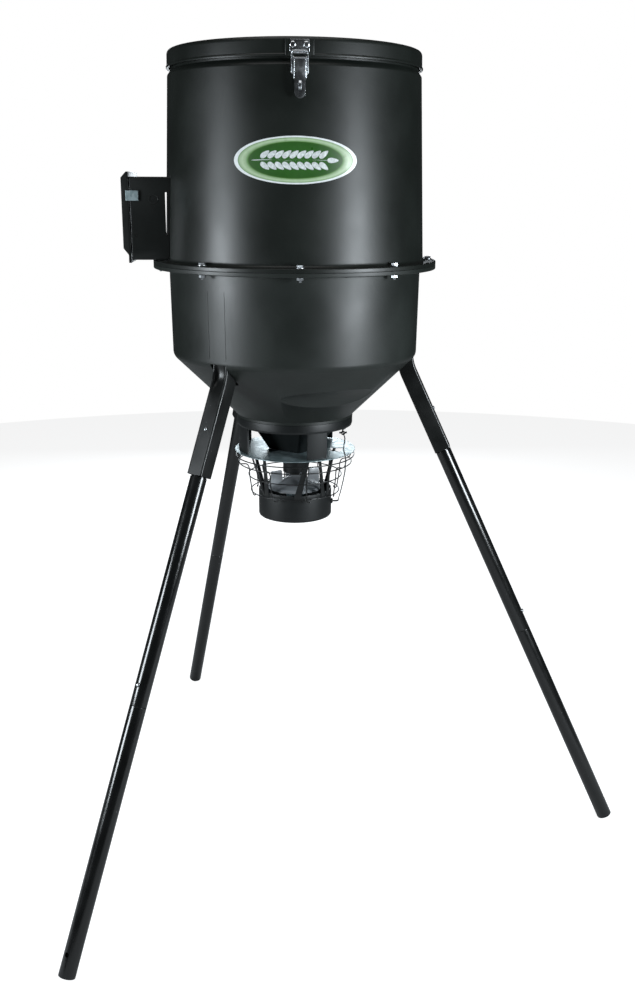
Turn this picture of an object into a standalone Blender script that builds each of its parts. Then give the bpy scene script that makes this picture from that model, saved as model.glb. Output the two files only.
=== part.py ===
"""Spin cast feeder: a barrel hopper on three tubular legs, with a spinner kit under its cone.

Metres, +Z up, floor at z = 0. The latch side faces -Y and the control box faces -X.
Every piece is placed around the barrel's axis, which stands at (AXIS_X, AXIS_Y), so that the
world's origin is the bottom centre of the whole object's bounding box.
Azimuths are in degrees from the front (-Y), turning towards +X.
"""

import math

import bmesh
import bpy
from mathutils import Matrix, Vector

# ---------------------------------------------------------------- driving dimensions
GAP = 0.0004  # between pieces that touch

# barrel
LID_TOP = 1.6136
LID_RADIUS = 0.2412
LID_SKIRT_BOTTOM = 1.5815
BARREL_TOP = 1.6090
BARREL_NECK_RADIUS = 0.2345
BARREL_TOP_RADIUS = 0.2415
BARREL_FLANGE_RADIUS = 0.2536
FLANGE_RADIUS = 0.2795
FLANGE_JOINT = 1.2243
FLANGE_THICKNESS = 0.0075
HOPPER_TOP_RADIUS = 0.2488
SHOULDER_RADIUS = 0.2465
SHOULDER_Z = 1.0467
SHOULDER_ROUNDING = 0.018
CONE_BOTTOM_RADIUS = 0.1195
CONE_BOTTOM_Z = 0.9225
NECK_BOTTOM = 0.9175
WALL = 0.004
BARREL_STEPS = 46

# flange fasteners
BOLT_CIRCLE = 0.2665
BOLT_AZIMUTHS = (0, 41, 90, 139, 180, 221, 270, 319)
SHANK_RADIUS = 0.0030
BOLT_HOLE_RADIUS = 0.0035

# legs: azimuths, foot circle and lean
LEG_AZIMUTHS = {"left": -37.7, "right": 82.3, "back": 202.3}
FOOT_CIRCLE = 0.7078
LEG_LEAN = math.atan(0.4707)
TUBE_RADIUS = 0.015875
TUBE_BORE = 0.0147
SWAGE_RADIUS = 0.0142
SWAGE_BORE = 0.0130
TUBE_STEPS = 16
TUBE_JOINT_Z = 0.454
FOOT_WEAR = 0.0006
BRACKET_END_Z = 0.850
BRACKET_WIDTH = 0.035
BRACKET_DEPTH = 0.033
BRACKET_WALL = 0.0015
BRACKET_RISER_RADIUS = 0.2245
BRACKET_TOP_Z = 1.185
BRACKET_BEND_RADIUS = 0.10
BRACKET_BUTTON_Z = 0.929
TUBE_BUTTON_RISE = 0.0387
BUTTON_RADIUS = 0.0038
BUTTON_HOLE_RADIUS = 0.0044
BUTTON_PROUD = 0.0032
SWAGE_LENGTH = 0.065
BRACKET_SWAGE_LENGTH = 0.110

# latches
LATCH_PIVOT_Z = 1.5760
LATCH_PIVOT_REACH = 0.2497
BAIL_PIVOT_Z = 1.5540
BAIL_PIVOT_REACH = 0.2505
BAIL_TOP_Z = 1.5890
BAIL_TOP_REACH = 0.2498
BAIL_WIRE = 0.0012
BAIL_HALF = 0.01395

# control box
BOX_HALF = 0.078
BOX_TOP = 1.3870
BOX_FLOOR = 1.2530
BOX_SKIRT = 1.2345
BOX_FRONT = 0.3140
BOX_BACK = 0.2740
BOX_WALL = 0.0030
DOOR_FRONT = 0.3290
DOOR_TOP = 1.3930
DOOR_BOTTOM = 1.2440
DOOR_HINGE_REACH = 0.3185

# feeder kit
COLLAR_RADIUS = 0.1190
COLLAR_BOTTOM = 0.8462
COLLAR_LIP = 0.8990
PLATE_TOP = 0.8454
PLATE_THICKNESS = 0.0015
PLATE_RADIUS = 0.1256
SPOUT_RADIUS = 0.0253
SPOUT_BOTTOM = 0.7940
CUP_RADIUS = 0.0769
CUP_BOTTOM = 0.7016
CUP_TOP = 0.7600
CUP_WALL = 0.0030
SPINNER_RADIUS = 0.0585
CAGE_WIRE = 0.0012
GROMMET_AZIMUTH = -278
GROMMET_Z = 0.7310

# lead
LEAD_RADIUS = 0.0018
LEAD_HOLE_RADIUS = 0.0045
LEAD_PASSAGE_Z = 1.2620
LEAD_AZIMUTH = -87
COLLAR_HOLE_AZIMUTH = -130


def foot_centre(azimuth):
    """Centre of a leg tube's square-cut bottom end, from the barrel's axis."""
    angle = math.radians(azimuth)
    return Vector((FOOT_CIRCLE * math.sin(angle), -FOOT_CIRCLE * math.cos(angle), 0.0))


def foot_reach(azimuth, axis):
    """Lowest and highest coordinate that a leg's end ring reaches along one axis."""
    angle = math.radians(azimuth)
    out = math.sin(LEG_LEAN)
    normal = (out * math.sin(angle), -out * math.cos(angle))[axis]
    centre = foot_centre(azimuth)[axis]
    spread = TUBE_RADIUS * math.sqrt(1.0 - normal * normal)
    return centre - spread, centre + spread


def box_middle(axis):
    """Middle of the three feet's extent along one axis."""
    reaches = [foot_reach(azimuth, axis) for azimuth in LEG_AZIMUTHS.values()]
    return (min(low for low, _ in reaches) + max(high for _, high in reaches)) / 2


AXIS_X = -box_middle(0)
AXIS_Y = -box_middle(1)

# ---------------------------------------------------------------- scene and helpers
for old in list(bpy.data.objects):
    bpy.data.objects.remove(old, do_unlink=True)

PARTS = bpy.data.collections.new("spin_cast_feeder")
CUTTERS = bpy.data.collections.new("cutters")
bpy.context.scene.collection.children.link(PARTS)
bpy.context.scene.collection.children.link(CUTTERS)


def material(name, color, roughness, metallic=0.0):
    made = bpy.data.materials.new(name)
    made.use_nodes = True
    shader = made.node_tree.nodes["Principled BSDF"]
    shader.inputs["Base Color"].default_value = (*color, 1.0)
    shader.inputs["Roughness"].default_value = roughness
    shader.inputs["Metallic"].default_value = metallic
    return made


BARREL_PLASTIC = material("barrel_plastic", (0.022, 0.024, 0.025), 0.42)
KIT_PLASTIC = material("kit_plastic", (0.020, 0.023, 0.024), 0.38)
BOX_PLASTIC = material("box_plastic", (0.015, 0.016, 0.016), 0.45)
LEG_PAINT = material("leg_paint", (0.010, 0.010, 0.010), 0.25)
ZINC = material("zinc", (0.62, 0.63, 0.65), 0.25, 1.0)
CHROME = material("chrome", (0.75, 0.76, 0.78), 0.12, 1.0)
GALVANISED = material("galvanised", (0.20, 0.25, 0.28), 0.40, 1.0)
SMOKED_PLASTIC = material("smoked_plastic", (0.33, 0.34, 0.35), 0.25)
BLACK_WIRE = material("black_wire", (0.012, 0.012, 0.012), 0.35)
CELL_CASE = material("cell_case", (0.05, 0.08, 0.16), 0.45)
BOARD_CASE = material("board_case", (0.55, 0.56, 0.55), 0.50)
BUTTON_RED = material("button_red", (0.45, 0.03, 0.02), 0.40)


def empty(name, parent=None, location=(0, 0, 0), turn=0.0):
    made = bpy.data.objects.new(name, None)
    made.parent = parent
    made.location = location
    made.rotation_euler.z = math.radians(turn)
    PARTS.objects.link(made)
    return made


AXIS = empty("barrel_axis", None, (AXIS_X, AXIS_Y, 0))


def add(name, mesh, finish, parent=AXIS, location=(0, 0, 0)):
    """A new part from a mesh, in the parts' collection."""
    made = bpy.data.objects.new(name, mesh)
    made.parent = parent
    made.location = location
    mesh.materials.clear()
    mesh.materials.append(finish)
    PARTS.objects.link(made)
    return made


def hide_cutter(obj):
    for collection in list(obj.users_collection):
        collection.objects.unlink(obj)
    CUTTERS.objects.link(obj)
    obj.hide_render = True
    obj.display_type = "WIRE"
    return obj


def evaluated_mesh(obj):
    """The object's mesh with its modifiers applied; a curve's loose caps are welded."""
    bpy.context.view_layer.update()
    graph = bpy.context.evaluated_depsgraph_get()
    mesh = bpy.data.meshes.new_from_object(obj.evaluated_get(graph))
    shape = bmesh.new()
    shape.from_mesh(mesh)
    bmesh.ops.remove_doubles(shape, verts=shape.verts, dist=0.00001)
    bmesh.ops.recalc_face_normals(shape, faces=shape.faces)
    shape.to_mesh(mesh)
    shape.free()
    return mesh


def turned_mesh(profile, steps, closed=False):
    """A solid of revolution about Z. The profile runs down the outer side, top to bottom."""
    outline = bpy.data.meshes.new("profile")
    edges = [(index, index + 1) for index in range(len(profile) - 1)]
    if closed:
        edges.append((len(profile) - 1, 0))
    outline.from_pydata([(radius, 0, height) for radius, height in profile], edges, [])
    spun = bpy.data.objects.new("spun", outline)
    PARTS.objects.link(spun)
    screw = spun.modifiers.new("Screw", "SCREW")
    screw.steps = steps
    screw.render_steps = steps
    screw.use_merge_vertices = True
    screw.merge_threshold = 0.00001
    mesh = evaluated_mesh(spun)
    bpy.data.objects.remove(spun)
    bpy.data.meshes.remove(outline)
    return mesh


def turned(name, profile, finish, steps=24, closed=False, parent=AXIS, location=(0, 0, 0)):
    made = add(name, turned_mesh(profile, steps, closed), finish, parent, location)
    smooth(made)
    return made


def smooth(obj, angle=35):
    obj.data.shade_smooth()
    obj.data.set_sharp_from_angle(angle=math.radians(angle))


def slab_mesh(outline, thickness):
    """A flat outline in XY, filled and given a thickness along Z."""
    curve = bpy.data.curves.new("outline", "CURVE")
    curve.dimensions = "2D"
    curve.fill_mode = "BOTH"
    curve.extrude = thickness / 2
    line = curve.splines.new("POLY")
    line.points.add(len(outline) - 1)
    for point, (x, y) in zip(line.points, outline):
        point.co = (x, y, 0, 1)
    line.use_cyclic_u = True
    holder = bpy.data.objects.new("outline", curve)
    PARTS.objects.link(holder)
    mesh = evaluated_mesh(holder)
    bpy.data.objects.remove(holder)
    bpy.data.curves.remove(curve)
    return mesh


def tube_mesh(points, radius, sides=2, cyclic=False):
    """A round wire along points, with filled caps."""
    curve = bpy.data.curves.new("wire", "CURVE")
    curve.dimensions = "3D"
    curve.bevel_depth = radius
    curve.bevel_resolution = sides
    curve.use_fill_caps = not cyclic
    line = curve.splines.new("POLY")
    line.points.add(len(points) - 1)
    for point, place in zip(line.points, points):
        point.co = (*place, 1)
    line.use_cyclic_u = cyclic
    holder = bpy.data.objects.new("wire", curve)
    PARTS.objects.link(holder)
    mesh = evaluated_mesh(holder)
    bpy.data.objects.remove(holder)
    bpy.data.curves.remove(curve)
    return mesh


def box_mesh(low, high):
    """A box between two corners."""
    shape = bmesh.new()
    bmesh.ops.create_cube(shape, size=1.0)
    size = Vector(high) - Vector(low)
    middle = (Vector(high) + Vector(low)) / 2
    placing = Matrix.Translation(middle) @ Matrix.Diagonal((*size, 1))
    bmesh.ops.transform(shape, matrix=placing, verts=shape.verts)
    mesh = bpy.data.meshes.new("box")
    shape.to_mesh(mesh)
    shape.free()
    return mesh


def rod_mesh(start, end, radius, sides=12, end_radius=None):
    """A cylinder or cone from start to end."""
    start = Vector(start)
    end = Vector(end)
    along = end - start
    shape = bmesh.new()
    bmesh.ops.create_cone(
        shape,
        cap_ends=True,
        segments=sides,
        radius1=radius,
        radius2=radius if end_radius is None else end_radius,
        depth=along.length,
    )
    turn = along.to_track_quat("Z", "Y").to_matrix().to_4x4()
    bmesh.ops.transform(shape, matrix=Matrix.Translation((start + end) / 2) @ turn, verts=shape.verts)
    mesh = bpy.data.meshes.new("rod")
    shape.to_mesh(mesh)
    shape.free()
    return mesh


def moved(mesh, matrix):
    mesh.transform(matrix)
    return mesh


def boolean(obj, mesh, operation, parent=None):
    """Cuts a mesh from an object, or joins it on, keeping the other mesh as a hidden cutter."""
    other = bpy.data.objects.new(obj.name + "_" + operation.lower(), mesh)
    other.parent = obj.parent if parent is None else parent
    other.matrix_parent_inverse = Matrix.Identity(4)
    if parent is None:
        other.location = obj.location
        other.rotation_mode = obj.rotation_mode
        other.rotation_euler = obj.rotation_euler
    hide_cutter(other)
    step = obj.modifiers.new(operation.title(), "BOOLEAN")
    step.operation = operation
    step.solver = "EXACT"
    step.object = other
    return other


def cut(obj, mesh, parent=None):
    return boolean(obj, mesh, "DIFFERENCE", parent)


def join(obj, mesh, parent=None):
    return boolean(obj, mesh, "UNION", parent)


def arc(centre, radius, start, end, count):
    """Points on an arc in a plane, angles in degrees from the first axis."""
    angles = [math.radians(start + (end - start) * index / (count - 1)) for index in range(count)]
    return [(centre[0] + radius * math.cos(a), centre[1] + radius * math.sin(a)) for a in angles]


def around(azimuth, radius, height):
    """A point at an azimuth from the front."""
    angle = math.radians(azimuth)
    return Vector((radius * math.sin(angle), -radius * math.cos(angle), height))


def turn_z(azimuth):
    return Matrix.Rotation(math.radians(azimuth), 4, "Z")


# ---------------------------------------------------------------- barrel
def barrel_radius(height):
    """Outer radius of the upper barrel, which widens towards its flange."""
    share = (1.566 - height) / (1.566 - 1.2545)
    return BARREL_TOP_RADIUS + share * (BARREL_FLANGE_RADIUS - BARREL_TOP_RADIUS)


def make_lid():
    panel = LID_TOP - 0.0035
    profile = [(0, panel), (0.188, panel), (0.194, LID_TOP)]
    profile += arc((LID_RADIUS - 0.008, LID_TOP - 0.008), 0.008, 90, 0, 4)
    profile += [
        (LID_RADIUS + 0.0006, LID_SKIRT_BOTTOM + 0.0045),
        (LID_RADIUS + 0.0022, LID_SKIRT_BOTTOM + 0.003),
        (LID_RADIUS + 0.0022, LID_SKIRT_BOTTOM),
        (LID_RADIUS - 0.0032, LID_SKIRT_BOTTOM),
        (LID_RADIUS - 0.0036, LID_TOP - 0.0065),
        (LID_RADIUS - 0.0058, LID_TOP - 0.0042),
        (0.2, LID_TOP - 0.0042),
        (0.192, panel - 0.0042),
        (0, panel - 0.0042),
    ]
    lid = turned("lid", profile, BARREL_PLASTIC, BARREL_STEPS)
    for side in (1, -1):
        low = Vector((-0.025, -0.2440, LID_SKIRT_BOTTOM + 0.0008))
        high = Vector((0.025, -0.2390, LID_TOP - 0.004))
        pad = box_mesh(low, high)
        join(lid, pad if side == 1 else moved(pad, turn_z(180)))
    return lid


def bolt_holes(obj, low, high):
    for azimuth in BOLT_AZIMUTHS:
        hole = rod_mesh((0, 0, low), (0, 0, high), BOLT_HOLE_RADIUS, 10)
        cut(obj, moved(hole, Matrix.Translation(around(azimuth, BOLT_CIRCLE, 0)) @ turn_z(azimuth + 9)))


def make_upper_barrel():
    flange_top = FLANGE_JOINT + FLANGE_THICKNESS
    flange_bottom = FLANGE_JOINT + GAP / 2
    root = barrel_radius(flange_top + 0.008)
    profile = [
        (BARREL_NECK_RADIUS - 0.0035, BARREL_TOP),
        (BARREL_NECK_RADIUS, BARREL_TOP),
        (BARREL_NECK_RADIUS, 1.5790),
        (BARREL_TOP_RADIUS - 0.003, 1.5745),
        (BARREL_TOP_RADIUS, 1.5660),
        (root, flange_top + 0.008),
        (root + 0.004, flange_top),
        (FLANGE_RADIUS - 0.0015, flange_top),
        (FLANGE_RADIUS, flange_top - 0.0015),
        (FLANGE_RADIUS, flange_bottom),
        (root - WALL, flange_bottom),
        (BARREL_TOP_RADIUS - WALL, 1.5600),
        (BARREL_NECK_RADIUS - 0.0035, 1.5700),
    ]
    barrel = turned("upper_barrel", profile, BARREL_PLASTIC, BARREL_STEPS, closed=True)
    bolt_holes(barrel, flange_bottom - 0.002, flange_top + 0.002)
    passage = around(LEAD_AZIMUTH, 0.20, LEAD_PASSAGE_Z), around(LEAD_AZIMUTH, 0.27, LEAD_PASSAGE_Z)
    cut(barrel, rod_mesh(*passage, LEAD_HOLE_RADIUS, 10))
    return barrel


def hopper_profile(inset):
    """Shoulder and cone of the lower hopper, offset inwards by an inset."""
    slope = math.atan2(SHOULDER_Z - CONE_BOTTOM_Z, SHOULDER_RADIUS - CONE_BOTTOM_RADIUS)
    tangent = SHOULDER_ROUNDING * math.tan((math.pi / 2 - slope) / 2)
    centre = (SHOULDER_RADIUS - SHOULDER_ROUNDING, SHOULDER_Z + tangent)
    points = arc(centre, SHOULDER_ROUNDING - inset, 0, math.degrees(slope) - 90, 5)
    rise = inset * (1 / math.cos(slope) - math.tan(slope))
    points.append((CONE_BOTTOM_RADIUS - inset, CONE_BOTTOM_Z + rise))
    return points


def make_lower_hopper():
    top = FLANGE_JOINT - GAP / 2
    outer = [
        (0, top),
        (FLANGE_RADIUS, top),
        (FLANGE_RADIUS, top - FLANGE_THICKNESS + 0.0015),
        (FLANGE_RADIUS - 0.0015, top - FLANGE_THICKNESS),
        (HOPPER_TOP_RADIUS + 0.004, top - FLANGE_THICKNESS),
        (HOPPER_TOP_RADIUS, top - FLANGE_THICKNESS - 0.006),
    ]
    outer += hopper_profile(0)
    outer += [(CONE_BOTTOM_RADIUS, NECK_BOTTOM), (0, NECK_BOTTOM)]
    hopper = turned("lower_hopper", outer, BARREL_PLASTIC, BARREL_STEPS)
    cavity_profile = [(0, top + 0.01), (HOPPER_TOP_RADIUS - WALL, top + 0.01)]
    cavity_profile += hopper_profile(WALL)
    cavity_profile += [(CONE_BOTTOM_RADIUS - WALL, NECK_BOTTOM - 0.01), (0, NECK_BOTTOM - 0.01)]
    cavity = bpy.data.objects.new("hopper_cavity", turned_mesh(cavity_profile, BARREL_STEPS))
    cavity.parent = AXIS
    hide_cutter(cavity)
    inner = BRACKET_RISER_RADIUS - BRACKET_DEPTH / 2 - 0.0015
    outer_reach = BRACKET_RISER_RADIUS + BRACKET_DEPTH / 2 + 0.0012
    half = BRACKET_WIDTH / 2 + 0.001
    skin = 0.0035
    socket_top = BRACKET_TOP_Z + 0.0006
    notch_top = SHOULDER_Z + 0.004
    for azimuth in LEG_AZIMUTHS.values():
        socket = upright_slab(
            [(inner, 0.98), (0.30, 0.98), (0.30, notch_top), (outer_reach, notch_top)]
            + [(outer_reach, socket_top), (inner, socket_top)],
            2 * half,
        )
        cut(hopper, moved(socket, turn_z(azimuth)))
        low = (-half - skin, -0.30, 0.97)
        high = (half + skin, -inner + skin, socket_top + skin)
        cut(cavity, moved(box_mesh(low, high), turn_z(azimuth)))
    step = hopper.modifiers.new("Cavity", "BOOLEAN")
    step.operation = "DIFFERENCE"
    step.solver = "EXACT"
    step.object = cavity
    bolt_holes(hopper, top - FLANGE_THICKNESS - 0.002, top + 0.002)
    return hopper


def make_flange_fasteners():
    """Eight hex bolts with washers above the flanges, and eight nuts under them."""
    seat = FLANGE_JOINT + FLANGE_THICKNESS + GAP
    under = FLANGE_JOINT - GAP / 2 - FLANGE_THICKNESS - GAP
    bolt = bpy.data.objects.new(
        "bolt",
        turned_mesh(
            [
                (0, 0.0015), (0.0082, 0.0015), (0.0082, 0),
                (SHANK_RADIUS, 0), (SHANK_RADIUS, under - seat - 0.0085),
            ]
            + [(0, under - seat - 0.0085)],
            10,
        ),
    )
    PARTS.objects.link(bolt)
    join(bolt, rod_mesh((0, 0, 0.001), (0, 0, 0.0055), 0.0063, 6))
    bolt_mesh = evaluated_mesh(bolt)
    nut = bpy.data.objects.new("nut", rod_mesh((0, 0, -0.0052), (0, 0, 0), 0.0063, 6))
    PARTS.objects.link(nut)
    cut(nut, rod_mesh((0, 0, -0.01), (0, 0, 0.01), SHANK_RADIUS + GAP, 9))
    nut_mesh = evaluated_mesh(nut)
    bpy.data.objects.remove(bolt)
    bpy.data.objects.remove(nut)
    for index, azimuth in enumerate(BOLT_AZIMUTHS):
        add(f"flange_bolt_{index + 1}", bolt_mesh, ZINC, AXIS, around(azimuth, BOLT_CIRCLE, seat))
        add(f"flange_nut_{index + 1}", nut_mesh, ZINC, AXIS, around(azimuth, BOLT_CIRCLE, under))


# ---------------------------------------------------------------- legs
def leg_reach(height):
    """Distance of a leg tube's centre line from the barrel's axis, at a height."""
    return FOOT_CIRCLE - math.tan(LEG_LEAN) * height


def bracket_outline(half_depth, extend):
    """Side view of the bent bracket as (reach, height) points, offset from its centre line."""
    bend_z = (FOOT_CIRCLE - BRACKET_RISER_RADIUS) / math.tan(LEG_LEAN)
    tangent = BRACKET_BEND_RADIUS * math.tan(LEG_LEAN / 2)
    centre = (BRACKET_RISER_RADIUS + BRACKET_BEND_RADIUS, bend_z + tangent)
    out = (math.sin(LEG_LEAN), -math.cos(LEG_LEAN))
    side = (math.cos(LEG_LEAN), math.sin(LEG_LEAN))
    end = (leg_reach(BRACKET_END_Z) + out[0] * extend, BRACKET_END_Z + out[1] * extend)
    top = BRACKET_TOP_Z + extend
    lean = math.degrees(LEG_LEAN)
    outer = [(BRACKET_RISER_RADIUS + half_depth, top)]
    outer += arc(centre, BRACKET_BEND_RADIUS - half_depth, 180, 180 + lean, 5)
    outer.append((end[0] + side[0] * half_depth, end[1] + side[1] * half_depth))
    inner = [(end[0] - side[0] * half_depth, end[1] - side[1] * half_depth)]
    inner += arc(centre, BRACKET_BEND_RADIUS + half_depth, 180 + lean, 180, 5)
    inner.append((BRACKET_RISER_RADIUS - half_depth, top))
    return outer + inner


def upright_slab(outline, width):
    """A slab whose outline is (reach towards -Y, height), centred on X."""
    mesh = slab_mesh(outline, width)
    placed = Matrix(((0, 0, -1, 0), (-1, 0, 0, 0), (0, 1, 0, 0), (0, 0, 0, 1)))
    return moved(mesh, placed)


def leg_matrix(distance):
    """Frame of a leg tube: +Z up its axis, -Y outwards, at a distance from its bottom end."""
    foot_z = TUBE_RADIUS * math.cos(math.pi / TUBE_STEPS) * math.sin(LEG_LEAN) - FOOT_WEAR
    foot = Vector((0, -leg_reach(foot_z), foot_z))
    up = Vector((0, math.sin(LEG_LEAN), math.cos(LEG_LEAN)))
    return Matrix.Translation(foot + up * distance) @ Matrix.Rotation(-LEG_LEAN, 4, "X"), foot_z


def tube_profile(length, swage):
    return [
        (SWAGE_BORE, length + swage),
        (SWAGE_RADIUS, length + swage),
        (SWAGE_RADIUS, length),
        (TUBE_RADIUS - 0.0004, length),
        (TUBE_RADIUS, length - 0.0008),
        (TUBE_RADIUS, 0),
        (TUBE_BORE, 0),
        (TUBE_BORE, length - 0.005),
        (SWAGE_BORE, length + 0.001),
    ]


def make_tube(name, distance, length, swage, holes, parent):
    matrix, _ = leg_matrix(distance)
    mesh = turned_mesh(tube_profile(length, swage), TUBE_STEPS, closed=True)
    mesh.transform(Matrix.Rotation(math.pi / TUBE_STEPS, 4, "Z"))
    tube = add(name, mesh, LEG_PAINT, parent)
    tube.matrix_local = matrix
    smooth(tube)
    for height in holes:
        cut(tube, rod_mesh((0, 0, height), (0, -0.03, height), BUTTON_HOLE_RADIUS, 10))
    return tube


def make_button(name, parent, distance, reach):
    """A domed button on a spring leaf inside the tube; reach is from the tube's axis to the dome's top."""
    matrix, _ = leg_matrix(distance)
    holder = empty(name + "_axis", parent)
    holder.matrix_local = matrix
    stem = reach - 0.0065
    profile = [
        (0, 0), (BUTTON_RADIUS * 0.6, -0.0004), (BUTTON_RADIUS, -0.0018),
        (BUTTON_RADIUS, -stem), (0, -stem),
    ]
    outwards = Matrix.Translation((0, -reach, 0)) @ Matrix.Rotation(math.pi / 2, 4, "X")
    button = add(name, moved(turned_mesh(profile, 10), outwards), ZINC, holder)
    leaf = SWAGE_BORE - 0.0018
    join(button, box_mesh((-0.004, -leaf, -0.030), (0.004, -leaf + 0.0012, 0.006)))
    smooth(button)
    return button


def make_leg(side):
    root = empty("leg_" + side, AXIS, (0, 0, 0), LEG_AZIMUTHS[side])
    _, foot_z = leg_matrix(0)
    lower_length = (TUBE_JOINT_Z - foot_z) / math.cos(LEG_LEAN)
    upper_length = (BRACKET_END_Z - 0.002 - foot_z) / math.cos(LEG_LEAN) - lower_length - GAP
    button_distance = lower_length + TUBE_BUTTON_RISE
    bracket_distance = (BRACKET_BUTTON_Z - foot_z) / math.cos(LEG_LEAN)
    foot_hole = 0.041
    lower = make_tube(
        f"lower_leg_tube_{side}", 0, lower_length, SWAGE_LENGTH, [foot_hole, button_distance], root
    )
    floor = box_mesh((-0.1, -0.8, -0.1), (0.1, -0.6, 0.0))
    cut(lower, floor, root)
    start = lower_length + GAP
    make_tube(
        f"upper_leg_tube_{side}",
        start,
        upper_length,
        BRACKET_SWAGE_LENGTH,
        [TUBE_BUTTON_RISE - GAP, bracket_distance - start],
        root,
    )
    bracket = add(
        f"leg_bracket_{side}",
        upright_slab(bracket_outline(BRACKET_DEPTH / 2, 0), BRACKET_WIDTH),
        LEG_PAINT,
        root,
    )
    hollow = upright_slab(
        bracket_outline(BRACKET_DEPTH / 2 - BRACKET_WALL, 0.02), BRACKET_WIDTH - 2 * BRACKET_WALL
    )
    cut(bracket, hollow)
    matrix, _ = leg_matrix(bracket_distance)
    hole = rod_mesh((0, 0, 0), (0, -0.04, 0), BUTTON_HOLE_RADIUS, 10)
    cut(bracket, moved(hole, matrix))
    make_button(f"tube_button_{side}", root, button_distance, TUBE_RADIUS + BUTTON_PROUD)
    make_button(f"bracket_button_{side}", root, bracket_distance, BRACKET_DEPTH / 2 + BUTTON_PROUD)


# ---------------------------------------------------------------- draw latches
def make_latch(side, azimuth):
    """Keeper on the lid, base with pivot ears and padlock staple, lever and wire bail."""
    root = empty(f"{side}_latch", AXIS, (0, 0, 0), azimuth)
    pivot = (-LATCH_PIVOT_REACH, LATCH_PIVOT_Z)
    keeper = add(
        f"{side}_latch_keeper", box_mesh((-0.0165, -0.2456, 1.5880), (0.0165, -0.2444, 1.6075)), CHROME, root
    )
    join(keeper, box_mesh((-0.0110, -0.2456, 1.5845), (0.0110, -0.2444, 1.5890)))
    join(keeper, box_mesh((-0.0100, -0.2472, 1.5845), (0.0100, -0.2450, 1.5860)))

    strip = box_mesh((-0.0085, -0.2448, 1.5225), (0.0085, -0.2436, 1.5730))
    base = add(f"{side}_latch_base", strip, CHROME, root)
    join(base, rod_mesh((-0.0122, *pivot), (0.0122, *pivot), 0.0015, 9))
    for x in (-0.0088, 0.0076):
        ear = [(0.2441, 1.5640), (0.2520, 1.5680), (0.2530, 1.5760), (0.2500, 1.5792), (0.2470, 1.5780)]
        ear.append((0.2441, 1.5725))
        join(base, moved(upright_slab(ear, 0.0012), Matrix.Translation((x + 0.0006, 0, 0))))
    staple = arc((0.2575, 1.5340), 0.0085, 60, -60, 6)
    staple = [(0.2441, 1.5414)] + staple + [(0.2441, 1.5266)]
    join(base, upright_slab(staple, 0.0042))
    cut(base, rod_mesh((-0.01, -0.2600, 1.5340), (0.01, -0.2600, 1.5340), 0.0035, 12))

    lever_axis = empty(f"{side}_lever_axis", root, (0, *pivot))
    back = Matrix.Translation((0, LATCH_PIVOT_REACH, -LATCH_PIVOT_Z))
    web = [(0.2544, 1.5762), (0.2556, 1.5762), (0.2556, 1.5136), (0.2544, 1.5136)]
    lever = add(f"{side}_latch_lever", moved(upright_slab(web, 0.0220), back), CHROME, lever_axis)
    for x in (-0.0116, 0.0104):
        cheek = arc((LATCH_PIVOT_REACH, LATCH_PIVOT_Z), 0.0052, 90, 270, 6)
        cheek = cheek[:3] + [
            (0.2447, 1.5740), (0.2447, 1.5470), (0.2490, 1.5448), (0.2553, 1.5448), (0.2553, 1.5762),
        ]
        cheek_mesh = moved(upright_slab(cheek, 0.0012), Matrix.Translation((x + 0.0006, 0, 0)))
        join(lever, moved(cheek_mesh, back))
    for low, high in (((-0.02, 1.50), (-0.0090, 1.5440)), ((0.0090, 1.50), (0.02, 1.5440))):
        cut(lever, moved(box_mesh((low[0], -0.27, low[1]), (high[0], -0.25, high[1])), back))
    corner = rod_mesh((0, -0.27, 1.5226), (0, -0.25, 1.5226), 0.0090, 16)
    tab_end = bpy.data.objects.new("tab_end", box_mesh((-0.02, -0.265, 1.50), (0.02, -0.2535, 1.5226)))
    tab_end.parent = root
    hide_cutter(tab_end)
    cut(tab_end, corner)
    rounded = evaluated_mesh(tab_end)
    bpy.data.objects.remove(tab_end)
    cut(lever, moved(rounded, back))
    cut(lever, moved(box_mesh((-0.0027, -0.27, 1.5215), (0.0027, -0.25, 1.5470)), back))
    cut(lever, moved(rod_mesh((-0.02, *pivot), (0.02, *pivot), 0.0019, 10), back))
    bail_pivot = (-BAIL_PIVOT_REACH, BAIL_PIVOT_Z)
    cut(lever, moved(rod_mesh((-0.02, *bail_pivot), (0.02, *bail_pivot), BAIL_WIRE + 0.0004, 10), back))

    offset = Vector((0, *bail_pivot)) - Vector((0, *pivot))
    bail_axis = empty(f"{side}_bail_axis", lever_axis, offset)
    rise = BAIL_TOP_Z - BAIL_PIVOT_Z
    lean = BAIL_PIVOT_REACH - BAIL_TOP_REACH
    corner_size = 0.003
    half = [
        Vector((BAIL_HALF - 0.0050, 0, 0)),
        Vector((BAIL_HALF - 0.0015, 0, 0)),
        Vector((BAIL_HALF, 0, 0.0015)),
        Vector((BAIL_HALF, lean * 0.9, rise - corner_size)),
        Vector((BAIL_HALF - corner_size, lean, rise)),
    ]
    route = half + [Vector((-point.x, point.y, point.z)) for point in reversed(half)]
    bail = add(f"{side}_latch_bail", tube_mesh(route, BAIL_WIRE, 1), CHROME, bail_axis)
    smooth(bail)


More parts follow.
